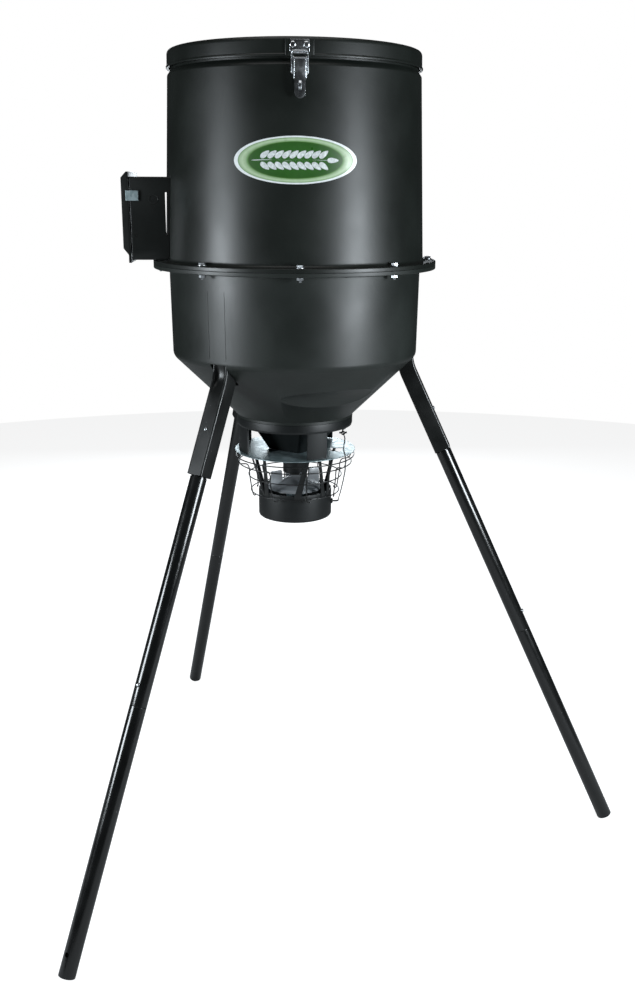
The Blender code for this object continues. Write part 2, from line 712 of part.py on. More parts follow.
# ---------------------------------------------------------------- control box
def make_control_box():
    """Housing with cheeks that reach the barrel, door with clip, battery and timer inside."""
    root = empty("box_side", AXIS, (0, 0, 0), -90)
    barrel_gap = 0.0006
    housing = add(
        "control_box",
        box_mesh((-BOX_HALF, -BOX_FRONT, BOX_SKIRT), (BOX_HALF, -0.2300, BOX_TOP)),
        BOX_PLASTIC,
        root,
    )
    inside = box_mesh(
        (-BOX_HALF + BOX_WALL, -BOX_FRONT - 0.01, BOX_FLOOR + BOX_WALL),
        (BOX_HALF - BOX_WALL, -BOX_BACK, BOX_TOP - BOX_WALL),
    )
    cut(housing, inside)
    behind = box_mesh(
        (-BOX_HALF + BOX_WALL, -BOX_BACK + BOX_WALL, BOX_SKIRT - 0.01),
        (BOX_HALF - BOX_WALL, -0.20, BOX_TOP + 0.01),
    )
    cut(housing, behind)
    skirt = box_mesh(
        (-BOX_HALF + BOX_WALL, -BOX_FRONT - 0.01, BOX_SKIRT - 0.01), (BOX_HALF - BOX_WALL, -0.20, BOX_FLOOR)
    )
    cut(housing, skirt)
    top_radius = barrel_radius(1.42) + barrel_gap
    bottom_radius = barrel_radius(1.22) + barrel_gap
    cut(housing, rod_mesh((0, 0, 1.22), (0, 0, 1.42), bottom_radius, 96, top_radius))
    flange_top = FLANGE_JOINT + FLANGE_THICKNESS
    fillet = barrel_radius(flange_top + 0.008) + barrel_gap
    low, high = (0, 0, flange_top - 0.002), (0, 0, flange_top + 0.010)
    cut(housing, rod_mesh(low, high, fillet + 0.0055, 96, fillet - 0.0005))
    slot_low, slot_high = 1.2790, 1.3590
    slot = upright_slab(
        [(0.2437, slot_low + 0.002)]
        + [(0.2447, slot_low), (0.2463, slot_low), (0.2473, slot_low + 0.002)]
        + [(0.2473, slot_high - 0.002), (0.2463, slot_high), (0.2447, slot_high), (0.2437, slot_high - 0.002)],
        0.02,
    )
    cut(housing, moved(slot, Matrix.Translation((BOX_HALF, 0, 0))))
    cut(housing, box_mesh((-BOX_HALF - 0.01, -0.2690, slot_low), (-BOX_HALF + 0.01, -0.2455, slot_high)))
    passage = around(LEAD_AZIMUTH + 90, 0.26, LEAD_PASSAGE_Z), around(LEAD_AZIMUTH + 90, 0.29, LEAD_PASSAGE_Z)
    cut(housing, rod_mesh(*passage, LEAD_HOLE_RADIUS, 10))

    door_axis = empty("door_axis", root, (-BOX_HALF - 0.0035, -DOOR_HINGE_REACH, 0))
    outline = [
        (BOX_FRONT + 0.0006, DOOR_TOP + 0.003),
        (BOX_FRONT + 0.0050, DOOR_TOP + 0.003),
        (DOOR_FRONT, DOOR_TOP - 0.008),
        (DOOR_FRONT, DOOR_BOTTOM + 0.012),
        (BOX_FRONT + 0.0055, DOOR_BOTTOM),
        (BOX_FRONT + 0.0055, 1.2290),
        (BOX_FRONT + 0.0006, 1.2290),
    ]
    shift = Matrix.Translation((BOX_HALF + 0.0035, DOOR_HINGE_REACH, 0))
    width = 2 * BOX_HALF + 0.002
    door = add("control_door", moved(upright_slab(outline, width), shift), BOX_PLASTIC, door_axis)
    recess = box_mesh(
        (-BOX_HALF + 0.004, -DOOR_FRONT + 0.0035, DOOR_BOTTOM + 0.016),
        (BOX_HALF - 0.004, -0.31, DOOR_TOP - 0.012),
    )
    cut(door, moved(recess, shift))

    clip_place = Vector((2 * BOX_HALF + 0.0035 + 0.0026, DOOR_HINGE_REACH - 0.3205, 0))
    clip_axis = empty("clip_axis", door_axis, clip_place)
    add("door_clip", box_mesh((-0.0008, -0.0008, 1.3435), (0.0010, 0.0235, 1.3620)), GALVANISED, clip_axis)

    battery_low = Vector((-0.060, -0.3090, BOX_FLOOR + BOX_WALL + GAP))
    battery_high = Vector((0.010, -BOX_BACK - GAP - 0.001, 1.3560))
    battery = add("battery", box_mesh(battery_low, battery_high), CELL_CASE, root)
    for x in (-0.045, -0.010):
        join(battery, rod_mesh((x, -0.290, 1.3550), (x, -0.290, 1.3640), 0.004, 10, 0.003))

    timer = add(
        "timer_module",
        box_mesh((0.0180, -0.3030, 1.2760), (0.0700, -BOX_BACK - GAP, 1.3680)),
        BOARD_CASE,
        root,
    )
    button_place = Vector((0.0440, -0.3030, 1.2960))
    front, back = button_place + Vector((0, -0.01, 0)), button_place + Vector((0, 0.012, 0))
    cut(timer, rod_mesh(front, back, 0.0052, 12))
    button_axis = empty("test_button_axis", root, button_place)
    button = add("test_button", rod_mesh((0, 0.0060, 0), (0, -0.0035, 0), 0.0047, 12), BUTTON_RED, button_axis)
    smooth(button)


# ---------------------------------------------------------------- feeder kit
def make_collar():
    """Ring under the hopper's neck, with three posts down to the feed plate."""
    top = NECK_BOTTOM - GAP
    outer_profile = [(0, top), (COLLAR_RADIUS, top), (COLLAR_RADIUS, COLLAR_LIP + 0.006)]
    outer_profile += [(COLLAR_RADIUS - 0.0012, COLLAR_LIP), (COLLAR_RADIUS - 0.0015, COLLAR_BOTTOM)]
    outer_profile += [(0, COLLAR_BOTTOM)]
    collar = turned("funnel_collar", outer_profile, KIT_PLASTIC, 36)
    hollow = [
        (0, top + 0.01), (0.088, top + 0.01), (0.088, top - 0.003), (COLLAR_RADIUS - 0.0045, top - 0.003),
    ]
    hollow += [(COLLAR_RADIUS - 0.0045, COLLAR_BOTTOM - 0.01), (0, COLLAR_BOTTOM - 0.01)]
    cut(collar, turned_mesh(hollow, 36))
    for start, end in ((-57, 10), (31, 134), (158, 233)):
        window = [(0.0, 0.0)] + [
            tuple(around(start + (end - start) * share / 4, 0.16, 0).xy) for share in range(5)
        ]
        height = COLLAR_LIP - COLLAR_BOTTOM + 0.01
        lift = Matrix.Translation((0, 0, COLLAR_LIP - height / 2))
        cut(collar, moved(slab_mesh(window, height), lift))
    hole = around(COLLAR_HOLE_AZIMUTH, 0.100, top + 0.01), around(COLLAR_HOLE_AZIMUTH, 0.100, top - 0.01)
    cut(collar, rod_mesh(*hole, LEAD_HOLE_RADIUS, 10))
    return collar


def make_feed_funnel():
    """Square funnel inside the collar, which carries the feed down to the spout."""
    top = Vector((0, 0, NECK_BOTTOM - GAP - 0.003 - GAP))
    bottom = Vector((0, 0, PLATE_TOP + GAP))
    top_corner = 0.1020
    bottom_corner = 0.0574
    wall = 0.0030
    over = Vector((0, 0, 0.0001))
    outside = rod_mesh(bottom, top, bottom_corner, 4, top_corner)
    inside = rod_mesh(bottom - over, top + over, bottom_corner - wall, 4, top_corner - wall)
    funnel = add("feed_funnel", moved(outside, turn_z(5)), KIT_PLASTIC)
    cut(funnel, moved(inside, turn_z(5)))
    return funnel


def make_feed_plate():
    """Galvanised plate with a centre hole for the spout and a curved slot near its edge."""
    low = PLATE_TOP - PLATE_THICKNESS
    profile = [(0.0215, PLATE_TOP), (PLATE_RADIUS, PLATE_TOP), (PLATE_RADIUS, low), (0.0215, low)]
    plate = turned("feed_plate", profile, GALVANISED, 36, closed=True)
    inner, outer = 0.0745, 0.1000
    slot = [tuple(around(azimuth, outer, 0).xy) for azimuth in (65, 72, 80, 87)]
    slot += [tuple(around(azimuth, inner, 0).xy) for azimuth in (87, 76, 65)]
    cut(plate, moved(slab_mesh(slot, 0.02), Matrix.Translation((0, 0, PLATE_TOP))))
    return plate


def make_spout():
    top = PLATE_TOP - PLATE_THICKNESS - GAP
    profile = [
        (0.0215, top),
        (0.0330, top),
        (0.0330, top - 0.0030),
        (SPOUT_RADIUS, top - 0.0030),
        (SPOUT_RADIUS, SPOUT_BOTTOM),
        (0.0215, SPOUT_BOTTOM),
    ]
    return turned("feed_spout", profile, KIT_PLASTIC, 18, closed=True)


# strut: azimuth and radius where it meets the plate, azimuth at the cup, half widths at top and bottom
STRUTS = (
    (-59, -59, 0.0018, 0.0035),
    (-38, -52, 0.0036, 0.0070),
    (12, 1, 0.0042, 0.0075),
    (26, 48, 0.0030, 0.0062),
    (40, 60, 0.0026, 0.0058),
    (122, 118, 0.0036, 0.0070),
    (170, 176, 0.0036, 0.0070),
    (190, 184, 0.0036, 0.0070),
    (238, 242, 0.0036, 0.0070),
)
STRUT_TOP_RADIUS = 0.1060
STRUT_FOOT_RADIUS = 0.0755


def make_motor_cup():
    """Cup that holds the motor, hung from the plate by struts on a thin mounting ring."""
    profile = [
        (0, CUP_BOTTOM + CUP_WALL),
        (CUP_RADIUS - CUP_WALL, CUP_BOTTOM + CUP_WALL),
        (CUP_RADIUS - CUP_WALL, CUP_TOP),
        (CUP_RADIUS, CUP_TOP),
        (CUP_RADIUS, CUP_BOTTOM + 0.004),
        (CUP_RADIUS - 0.003, CUP_BOTTOM),
        (0, CUP_BOTTOM),
    ]
    cup = turned("motor_cup", profile, KIT_PLASTIC, 30)
    ring_top = PLATE_TOP - PLATE_THICKNESS - GAP
    ring = [(0.1005, ring_top), (0.1130, ring_top), (0.1130, ring_top - 0.0025), (0.1005, ring_top - 0.0025)]
    join(cup, turned_mesh(ring, 32, closed=True))
    for top_azimuth, foot_azimuth, half_top, half_foot in STRUTS:
        top = around(top_azimuth, STRUT_TOP_RADIUS, ring_top - 0.0010)
        foot = around(foot_azimuth, STRUT_FOOT_RADIUS, CUP_TOP - 0.0080)
        join(cup, strut_mesh(top, foot, half_top, half_foot, foot_azimuth))
    hole = around(GROMMET_AZIMUTH, 0.06, GROMMET_Z), around(GROMMET_AZIMUTH, 0.09, GROMMET_Z)
    cut(cup, rod_mesh(*hole, 0.0044, 12))
    return cup


def strut_mesh(top, foot, half_top, half_foot, azimuth):
    """A flat tapered strut; its width runs around the cup."""
    thick = 0.0013
    across = turn_z(azimuth) @ Vector((1, 0, 0))
    out = turn_z(azimuth) @ Vector((0, -1, 0))
    shape = bmesh.new()
    bmesh.ops.create_cube(shape, size=1.0)
    for vertex in shape.verts:
        upper = vertex.co.z > 0
        centre = top if upper else foot
        half = half_top if upper else half_foot
        side = 1 if vertex.co.x > 0 else -1
        depth = 1 if vertex.co.y > 0 else -1
        vertex.co = centre + across * (side * half) + out * (depth * thick)
    bmesh.ops.recalc_face_normals(shape, faces=shape.faces)
    mesh = bpy.data.meshes.new("strut")
    shape.to_mesh(mesh)
    shape.free()
    return mesh


def make_motor():
    low = CUP_BOTTOM + CUP_WALL + GAP
    profile = [
        (0, low + 0.0430),
        (0.0185, low + 0.0430),
        (0.0185, low),
        (0, low),
    ]
    motor = turned("motor", profile, GALVANISED, 20)
    cut(motor, rod_mesh((0, 0, low + 0.030), (0, 0, low + 0.05), 0.0022, 12))
    return motor


def make_spinner():
    """Spinner plate with a raised cone and four fins, on the motor's shaft."""
    shaft_low = CUP_BOTTOM + CUP_WALL + GAP + 0.0305
    turned(
        "spinner_shaft",
        [(0, 0.7860), (0.0017, 0.7860), (0.0017, shaft_low), (0, shaft_low)],
        ZINC,
        10,
    )
    hub_top = 0.7885
    profile = [
        (0, hub_top),
        (0.0075, hub_top),
        (0.0110, 0.7850),
        (0.0300, 0.7740),
        (SPINNER_RADIUS - 0.004, 0.7650),
        (SPINNER_RADIUS, 0.7600),
        (SPINNER_RADIUS - 0.0020, 0.7595),
        (SPINNER_RADIUS - 0.0055, 0.7628),
        (0.0290, 0.7718),
        (0.0075, 0.7790),
        (0.0075, 0.7700),
        (0, 0.7700),
    ]
    spinner = turned("spinner", profile, SMOKED_PLASTIC, 32)
    for azimuth in (-70, 20, 110, 200):
        fin = [(0.0285, 0.7730), (0.0555, 0.7620), (0.0545, 0.7985), (0.0300, 0.7995)]
        join(spinner, moved(upright_slab(fin, 0.0014), turn_z(azimuth)))
    cut(spinner, rod_mesh((0, 0, 0.760), (0, 0, 0.7865), 0.0017 + GAP, 10))
    return spinner


CAGE_HOOPS = ((0.1235, 0.8330), (0.1180, 0.8180), (0.0975, 0.7900), (0.0925, 0.7560))
CAGE_UPRIGHTS = 8


def cage_ring(radius, height, count=24):
    return [around(360 * index / count, radius, height) for index in range(count)]


def make_cage():
    """Varmint cage: four hoops of wire and uprights with curled feet."""
    cage = add("varmint_cage", tube_mesh(cage_ring(*CAGE_HOOPS[0]), CAGE_WIRE, 0, cyclic=True), BLACK_WIRE)
    for radius, height in CAGE_HOOPS[1:]:
        join(cage, tube_mesh(cage_ring(radius, height), CAGE_WIRE, 0, cyclic=True))
    for index in range(CAGE_UPRIGHTS):
        azimuth = -79 + 45 * index
        route = [
            around(azimuth, 0.1235, 0.8330),
            around(azimuth, 0.1180, 0.8180),
            around(azimuth, 0.1030, 0.8150),
            around(azimuth + 1, 0.0985, 0.8060),
            around(azimuth + 1, 0.0975, 0.7900),
            around(azimuth + 2, 0.0925, 0.7560),
            around(azimuth + 6, 0.0900, 0.7495),
            around(azimuth + 9, 0.0885, 0.7530),
        ]
        join(cage, tube_mesh(route, CAGE_WIRE, 0))
    smooth(cage, 60)
    return cage


# ---------------------------------------------------------------- lead
# azimuth, distance from the barrel's axis and height of points along the lead
LEAD_ROUTE = (
    (LEAD_AZIMUTH, 0.2800, LEAD_PASSAGE_Z),
    (LEAD_AZIMUTH, 0.2650, LEAD_PASSAGE_Z),
    (LEAD_AZIMUTH, 0.2480, LEAD_PASSAGE_Z),
    (LEAD_AZIMUTH, 0.2410, 1.2560),
    (LEAD_AZIMUTH, 0.2385, 1.2400),
    (LEAD_AZIMUTH, 0.2380, 1.2200),
    (LEAD_AZIMUTH, 0.2380, 1.1500),
    (LEAD_AZIMUTH, 0.2370, 1.0800),
    (-88, 0.2275, 1.0400),
    (-90, 0.2090, 1.0219),
    (-95, 0.1495, 0.9640),
    (-101, 0.1225, 0.9380),
    (-112, 0.1090, 0.9295),
    (-124, 0.1025, 0.9260),
    (COLLAR_HOLE_AZIMUTH, 0.1000, 0.9190),
    (COLLAR_HOLE_AZIMUTH, 0.1000, 0.9080),
    (-135, 0.1015, 0.9000),
    (-142, 0.1040, 0.8960),
    (-158, 0.1060, 0.8920),
    (-180, 0.1060, 0.8910),
    (-206, 0.1060, 0.8910),
    (-234, 0.1060, 0.8910),
    (-262, 0.1060, 0.8920),
    (-284, 0.1070, 0.8930),
    (-296, 0.1080, 0.8935),
    (-301, 0.1105, 0.8930),
    (-304, 0.1150, 0.8915),
    (-307, 0.1205, 0.8885),
    (-309, 0.1262, 0.8830),
    (-310, 0.1268, 0.8740),
    (-311, 0.1265, 0.8640),
    (-311, 0.1275, 0.8560),
    (-309.5, 0.1288, 0.8450),
    (-309, 0.1288, 0.8370),
    (-309, 0.1282, 0.8280),
    (-308.5, 0.1272, 0.8170),
    (-306, 0.1200, 0.7950),
    (-303, 0.1120, 0.7740),
    (-300, 0.1060, 0.7600),
    (-296, 0.1000, 0.7480),
    (-287, 0.0940, 0.7370),
    (-280, 0.0880, 0.7322),
    (GROMMET_AZIMUTH, 0.0810, GROMMET_Z),
    (GROMMET_AZIMUTH, 0.0700, GROMMET_Z),
    (GROMMET_AZIMUTH, 0.0500, 0.7330),
    (GROMMET_AZIMUTH, 0.0215, 0.7400),
)
LEAD_SPACING = 0.0128


def smooth_route(points, spacing):
    """Evenly spaced points on a Catmull-Rom curve through the route's own points."""
    fine = []
    for index in range(len(points) - 1):
        before = points[max(index - 1, 0)]
        start, end = points[index], points[index + 1]
        after = points[min(index + 2, len(points) - 1)]
        for step in range(12):
            t = step / 12
            fine.append(
                0.5
                * (
                    2 * start
                    + (end - before) * t
                    + (2 * before - 5 * start + 4 * end - after) * t * t
                    + (3 * start - before - 3 * end + after) * t * t * t
                )
            )
    fine.append(points[-1])
    lengths = [0.0]
    for start, end in zip(fine, fine[1:]):
        lengths.append(lengths[-1] + (end - start).length)
    count = max(2, round(lengths[-1] / spacing))
    evenly = []
    place = 0
    for index in range(count + 1):
        target = lengths[-1] * index / count
        while place < len(fine) - 2 and lengths[place + 1] < target:
            place += 1
        span = lengths[place + 1] - lengths[place]
        evenly.append(fine[place].lerp(fine[place + 1], (target - lengths[place]) / span if span else 0))
    return evenly


def make_lead():
    """Lead from the timer, through the barrel's wall, down inside and out to the motor cup."""
    points = smooth_route([around(*point) for point in LEAD_ROUTE], LEAD_SPACING)
    lead = add("motor_lead", tube_mesh(points, LEAD_RADIUS, 1), BLACK_WIRE)
    smooth(lead, 60)
    clip_place = around(-302.5, 0.1125, 0.8925)
    nearest = min(range(len(points) - 1), key=lambda i: ((points[i] + points[i + 1]) / 2 - clip_place).length)
    make_lead_clip((points[nearest] + points[nearest + 1]) / 2, points[nearest + 1] - points[nearest])
    make_grommet()


def make_lead_clip(middle, direction):
    """Clip under the collar's edge that the lead passes through."""
    along = direction.normalized()
    half = along * 0.0022
    clip = add("lead_clip", rod_mesh(middle - half, middle + half, 0.0042, 10), KIT_PLASTIC)
    side = along.cross(Vector((0, 0, 1))).normalized()
    for sign in (-1, 1):
        root = middle + side * (sign * 0.0030)
        join(clip, rod_mesh(root, root + side * (sign * 0.0045) + Vector((0, 0, 0.0012)), 0.0016, 8, 0.0022))
    cut(clip, rod_mesh(middle - half * 2, middle + half * 2, LEAD_RADIUS + 0.0007, 10))


def make_grommet():
    """Rubber grommet where the lead enters the motor cup."""
    face = around(GROMMET_AZIMUTH, CUP_RADIUS + GAP, GROMMET_Z)
    front = around(GROMMET_AZIMUTH, CUP_RADIUS + 0.0032, GROMMET_Z)
    inside = around(GROMMET_AZIMUTH, CUP_RADIUS - CUP_WALL - 0.003, GROMMET_Z)
    grommet = add("cup_grommet", rod_mesh(face, front, 0.0058, 12, 0.0046), BLACK_WIRE)
    join(grommet, rod_mesh(inside, around(GROMMET_AZIMUTH, CUP_RADIUS + 0.001, GROMMET_Z), 0.0038, 12))
    through = around(GROMMET_AZIMUTH, 0.06, GROMMET_Z), around(GROMMET_AZIMUTH, 0.10, GROMMET_Z)
    cut(grommet, rod_mesh(*through, LEAD_RADIUS + 0.0008, 12))


make_lid()
make_upper_barrel()
make_lower_hopper()
make_flange_fasteners()
for leg in LEG_AZIMUTHS:
    make_leg(leg)
make_latch("front", 0)
make_latch("rear", 180)
make_control_box()
make_collar()
make_feed_funnel()
make_feed_plate()
make_spout()
make_motor_cup()
make_motor()
make_spinner()
make_cage()
make_lead()
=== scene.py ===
"""Looks of the spin cast feeder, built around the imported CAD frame.

Metres, +Z up. Meshes are drawn around the barrel's axis, with -Y at azimuth 0, and piece() then
turns them to their azimuth and moves them to where the axis stands in the frame.
"""

import math

import bmesh
import bpy
from mathutils import Matrix, Vector


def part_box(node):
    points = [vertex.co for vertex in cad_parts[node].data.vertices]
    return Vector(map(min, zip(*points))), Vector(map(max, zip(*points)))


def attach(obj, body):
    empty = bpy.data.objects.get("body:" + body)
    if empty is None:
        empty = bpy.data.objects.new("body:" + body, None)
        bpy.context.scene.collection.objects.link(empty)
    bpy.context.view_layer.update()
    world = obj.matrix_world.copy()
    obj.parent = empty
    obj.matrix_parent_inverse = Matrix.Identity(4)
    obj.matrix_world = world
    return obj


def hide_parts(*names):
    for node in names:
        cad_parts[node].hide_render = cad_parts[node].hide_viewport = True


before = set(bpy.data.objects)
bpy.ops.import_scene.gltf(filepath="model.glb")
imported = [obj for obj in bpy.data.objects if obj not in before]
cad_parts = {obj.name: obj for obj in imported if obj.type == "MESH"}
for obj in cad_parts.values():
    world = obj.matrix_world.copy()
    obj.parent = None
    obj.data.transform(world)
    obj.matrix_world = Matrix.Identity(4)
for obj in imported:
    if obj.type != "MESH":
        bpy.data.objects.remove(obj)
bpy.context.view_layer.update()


def centred_box(node):
    """A node's corners measured from the barrel's axis."""
    low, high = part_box(node)
    return low - AXIS, high - AXIS


barrel_low, barrel_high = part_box("upper_barrel")
AXIS = Vector(((barrel_low.x + barrel_high.x) / 2, (barrel_low.y + barrel_high.y) / 2, 0))

# ---------------------------------------------------------------- dimensions
GAP = 0.0004
ROUND = 144  # steps round the big turned shells
SMALL_ROUND = 40  # steps round tubes and small turned pieces

# barrel
LID_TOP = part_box("lid")[1].z
LID_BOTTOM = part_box("lid")[0].z
LID_RADIUS = 0.2412
BARREL_TOP = barrel_high.z
BARREL_RADIUS = 0.2415
BARREL_FLANGE_RADIUS = 0.2536
FLANGE_RADIUS = (barrel_high.x - barrel_low.x) / 2
FLANGE_JOINT = barrel_low.z
FLANGE_THICKNESS = 0.0075
HOPPER_RADIUS = 0.2488
SHOULDER_RADIUS = 0.2465
SHOULDER_Z = 1.0467
SHOULDER_ROUNDING = 0.018
CONE_RADIUS = 0.1195
CONE_BOTTOM = 0.9225
NECK_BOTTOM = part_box("lower_hopper")[0].z
WALL = 0.004
BOLT_CIRCLE = 0.2665
BOLT_AZIMUTHS = (0, 41, 90, 139, 180, 221, 270, 319)

# legs
LEG_AZIMUTHS = {"left": -37.7, "right": 82.3, "back": 202.3}
FOOT_CIRCLE = 0.7078
LEG_LEAN = math.atan(0.4707)
TUBE_RADIUS = 0.01585
SWAGE_RADIUS = 0.0142
TUBE_JOINT_Z = 0.454
BRACKET_END_Z = 0.850
BRACKET_WIDTH = 0.035
BRACKET_DEPTH = 0.033
BRACKET_WALL = 0.0015
BRACKET_CORNER = 0.0032
BRACKET_RISER = 0.2245
BRACKET_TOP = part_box("leg_bracket_left")[1].z
BRACKET_BEND = 0.10
BRACKET_BUTTON_Z = 0.929
BRACKET_PINCH = 0.0085
TUBE_BUTTON_RISE = 0.0387
BUTTON_RADIUS = 0.0038
BUTTON_HOLE = 0.0044
BUTTON_PROUD = 0.0032

# latches
LATCH_PIVOT = (0.2497, 1.5760)
BAIL_PIVOT = (0.2505, 1.5540)
BAIL_TOP = (0.2498, 1.5890)
BAIL_WIRE = 0.0012
BAIL_HALF = 0.01395

# control box
BOX_HALF = 0.078
BOX_TOP = 1.3870
BOX_FLOOR = 1.2530
BOX_SKIRT = 1.2345
BOX_FRONT = 0.3140
BOX_BACK = 0.2740
BOX_WALL = 0.0030
DOOR_FRONT = 0.3290
DOOR_TOP = 1.3960
DOOR_BOTTOM = 1.2440
DOOR_SKIRT = 1.2290

# feeder kit
COLLAR_RADIUS = 0.1190
COLLAR_LIP = 0.8990
COLLAR_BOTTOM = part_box("funnel_collar")[0].z
PLATE_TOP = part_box("feed_plate")[1].z
PLATE_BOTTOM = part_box("feed_plate")[0].z
PLATE_RADIUS = 0.1256
SPOUT_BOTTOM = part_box("feed_spout")[0].z
SPOUT_BORE = 0.0215
SPOUT_RADIUS = 0.0253
CUP_RADIUS = 0.0769
CUP_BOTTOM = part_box("motor_cup")[0].z
CUP_TOP = 0.7600
CUP_WALL = 0.0030
SPINNER_RADIUS = 0.0585
CAGE_WIRE = 0.0012
CAGE_HOOPS = ((0.1235, 0.8330), (0.1180, 0.8180), (0.0975, 0.7900), (0.0925, 0.7560))
CAGE_UPRIGHT = (  # turn from the upright's azimuth, radius and height
    *((0, 0.1235, 0.8330), (0, 0.1180, 0.8180), (0, 0.1030, 0.8150), (1, 0.0985, 0.8060)),
    *((1, 0.0975, 0.7900), (2, 0.0925, 0.7560), (6, 0.0900, 0.7495), (9, 0.0885, 0.7530)),
)
GROMMET_AZIMUTH = -278
GROMMET_Z = 0.7310
LEAD_AZIMUTH = -87
LEAD_PASSAGE_Z = 1.262
LEAD_PASSAGE_RADIUS = 0.0045

# label
LABEL_AZIMUTH = -1.7
LABEL_Z = 1.4140
LABEL_HALF_WIDTH = 0.1080
LABEL_HALF_HEIGHT = 0.0400


# ---------------------------------------------------------------- mesh helpers
def around(azimuth, radius, height):
    """A point at an azimuth from the front."""
    angle = math.radians(azimuth)
    return Vector((radius * math.sin(angle), -radius * math.cos(angle), height))


def turn_z(azimuth):
    """A turn about the barrel's axis, in degrees."""
    return Matrix.Rotation(math.radians(azimuth), 4, "Z")


def shift(x, y, z):
    return Matrix.Translation((x, y, z))


def facing(x, y, z):
    """A frame at a point, with +Z looking outwards along -Y."""
    return shift(x, y, z) @ Matrix.Rotation(math.pi / 2, 4, "X")


def moved(mesh, matrix):
    """The same mesh, moved by a matrix."""
    mesh.transform(matrix)
    return mesh


def mesh_from(verts, faces):
    """A mesh with outward normals."""
    mesh = bpy.data.meshes.new("shape")
    mesh.from_pydata([tuple(vert) for vert in verts], [], faces)
    shape = bmesh.new()
    shape.from_mesh(mesh)
    bmesh.ops.recalc_face_normals(shape, faces=shape.faces)
    shape.to_mesh(mesh)
    shape.free()
    return mesh


def merged(*meshes):
    """Several meshes as one."""
    shape = bmesh.new()
    for mesh in meshes:
        shape.from_mesh(mesh)
    whole = bpy.data.meshes.new("whole")
    shape.to_mesh(whole)
    shape.free()
    return whole


def rounded(points, steps=4):
    """An outline whose corners with a third value are rounded off at that radius."""
    outline = []
    for index, point in enumerate(points):
        if len(point) == 2:
            outline.append(point)
            continue
        corner = Vector(point[:2])
        back = Vector(points[index - 1][:2]) - corner
        ahead = Vector(points[(index + 1) % len(points)][:2]) - corner
        cut = point[2] / math.tan(back.angle(ahead) / 2)
        cut = min(cut, back.length * 0.48, ahead.length * 0.48)
        start = corner + back.normalized() * cut
        end = corner + ahead.normalized() * cut
        for step in range(steps + 1):
            t = step / steps
            outline.append(tuple(start * (1 - t) ** 2 + corner * (2 * t * (1 - t)) + end * t * t))
    return outline


def revolve(profile, steps=SMALL_ROUND):
    """A solid of revolution from a closed outline of (radius, height) points."""
    verts, faces, rings = [], [], []
    for radius, height in profile:
        first = len(verts)
        if radius < 1e-6:
            verts.append((0, 0, height))
            rings.append([first] * steps)
            continue
        for step in range(steps):
            angle = 2 * math.pi * step / steps
            verts.append((radius * math.cos(angle), radius * math.sin(angle), height))
        rings.append(list(range(first, first + steps)))
    for index, ring in enumerate(rings):
        other = rings[(index + 1) % len(rings)]
        for step in range(steps):
            after = (step + 1) % steps
            corners = [ring[step], ring[after], other[after], other[step]]
            face = list(dict.fromkeys(corners))
            if len(face) > 2:
                faces.append(face)
    return mesh_from(verts, faces)


def prism(outline, low, high):
    """An outline of (reach, height) points, given a width from x = low to x = high."""
    count = len(outline)
    verts = [(x, -reach, height) for x in (low, high) for reach, height in outline]
    faces = [list(range(count)), list(range(2 * count - 1, count - 1, -1))]
    for index in range(count):
        after = (index + 1) % count
        faces.append([index, after, count + after, count + index])
    return mesh_from(verts, faces)


def column(outline, low, high):
    """An outline of (x, y) points, given a height from z = low to z = high."""
    mesh = prism([(y, x) for x, y in outline], low, high)
    return moved(mesh, Matrix(((0, 0, 1, 0), (0, -1, 0, 0), (1, 0, 0, 0), (0, 0, 0, 1))))


def box(low, high):
    """A box between two opposite corners."""
    outline = [(-low[1], low[2]), (-high[1], low[2]), (-high[1], high[2]), (-low[1], high[2])]
    return prism(outline, low[0], high[0])


def sweep(points, radius, sides=12, cyclic=False):
    """A round wire along points, with closed ends."""
    points = [Vector(point) for point in points]
    count = len(points)
    verts, faces = [], []
    normal = None
    for index, point in enumerate(points):
        ahead = points[(index + 1) % count] if cyclic or index + 1 < count else point
        behind = points[index - 1] if cyclic or index else point
        along = (ahead - behind).normalized()
        normal = along.orthogonal() if normal is None else normal
        normal = (normal - along * normal.dot(along)).normalized()
        across = along.cross(normal)
        for side in range(sides):
            angle = 2 * math.pi * side / sides
            verts.append(point + (normal * math.cos(angle) + across * math.sin(angle)) * radius)
    for index in range(count if cyclic else count - 1):
        ring, other = index * sides, (index + 1) % count * sides
        for side in range(sides):
            after = (side + 1) % sides
            faces.append([ring + side, ring + after, other + after, other + side])
    if not cyclic:
        faces.append(list(range(sides)))
        faces.append(list(range((count - 1) * sides, count * sides)))
    return mesh_from(verts, faces)


def rod(start, end, radius, end_radius=None, sides=24):
    """A straight rod or cone from start to end."""
    along = Vector(end) - Vector(start)
    tip = radius if end_radius is None else end_radius
    mesh = revolve([(0, 0), (radius, 0), (tip, along.length), (0, along.length)], sides)
    turn = along.to_track_quat("Z", "Y").to_matrix().to_4x4()
    return moved(mesh, Matrix.Translation(start) @ turn)


def crossways(place, half_length, radius):
    """A rod along X through a (reach, height) place."""
    reach, height = place
    return rod((-half_length, -reach, height), (half_length, -reach, height), radius)


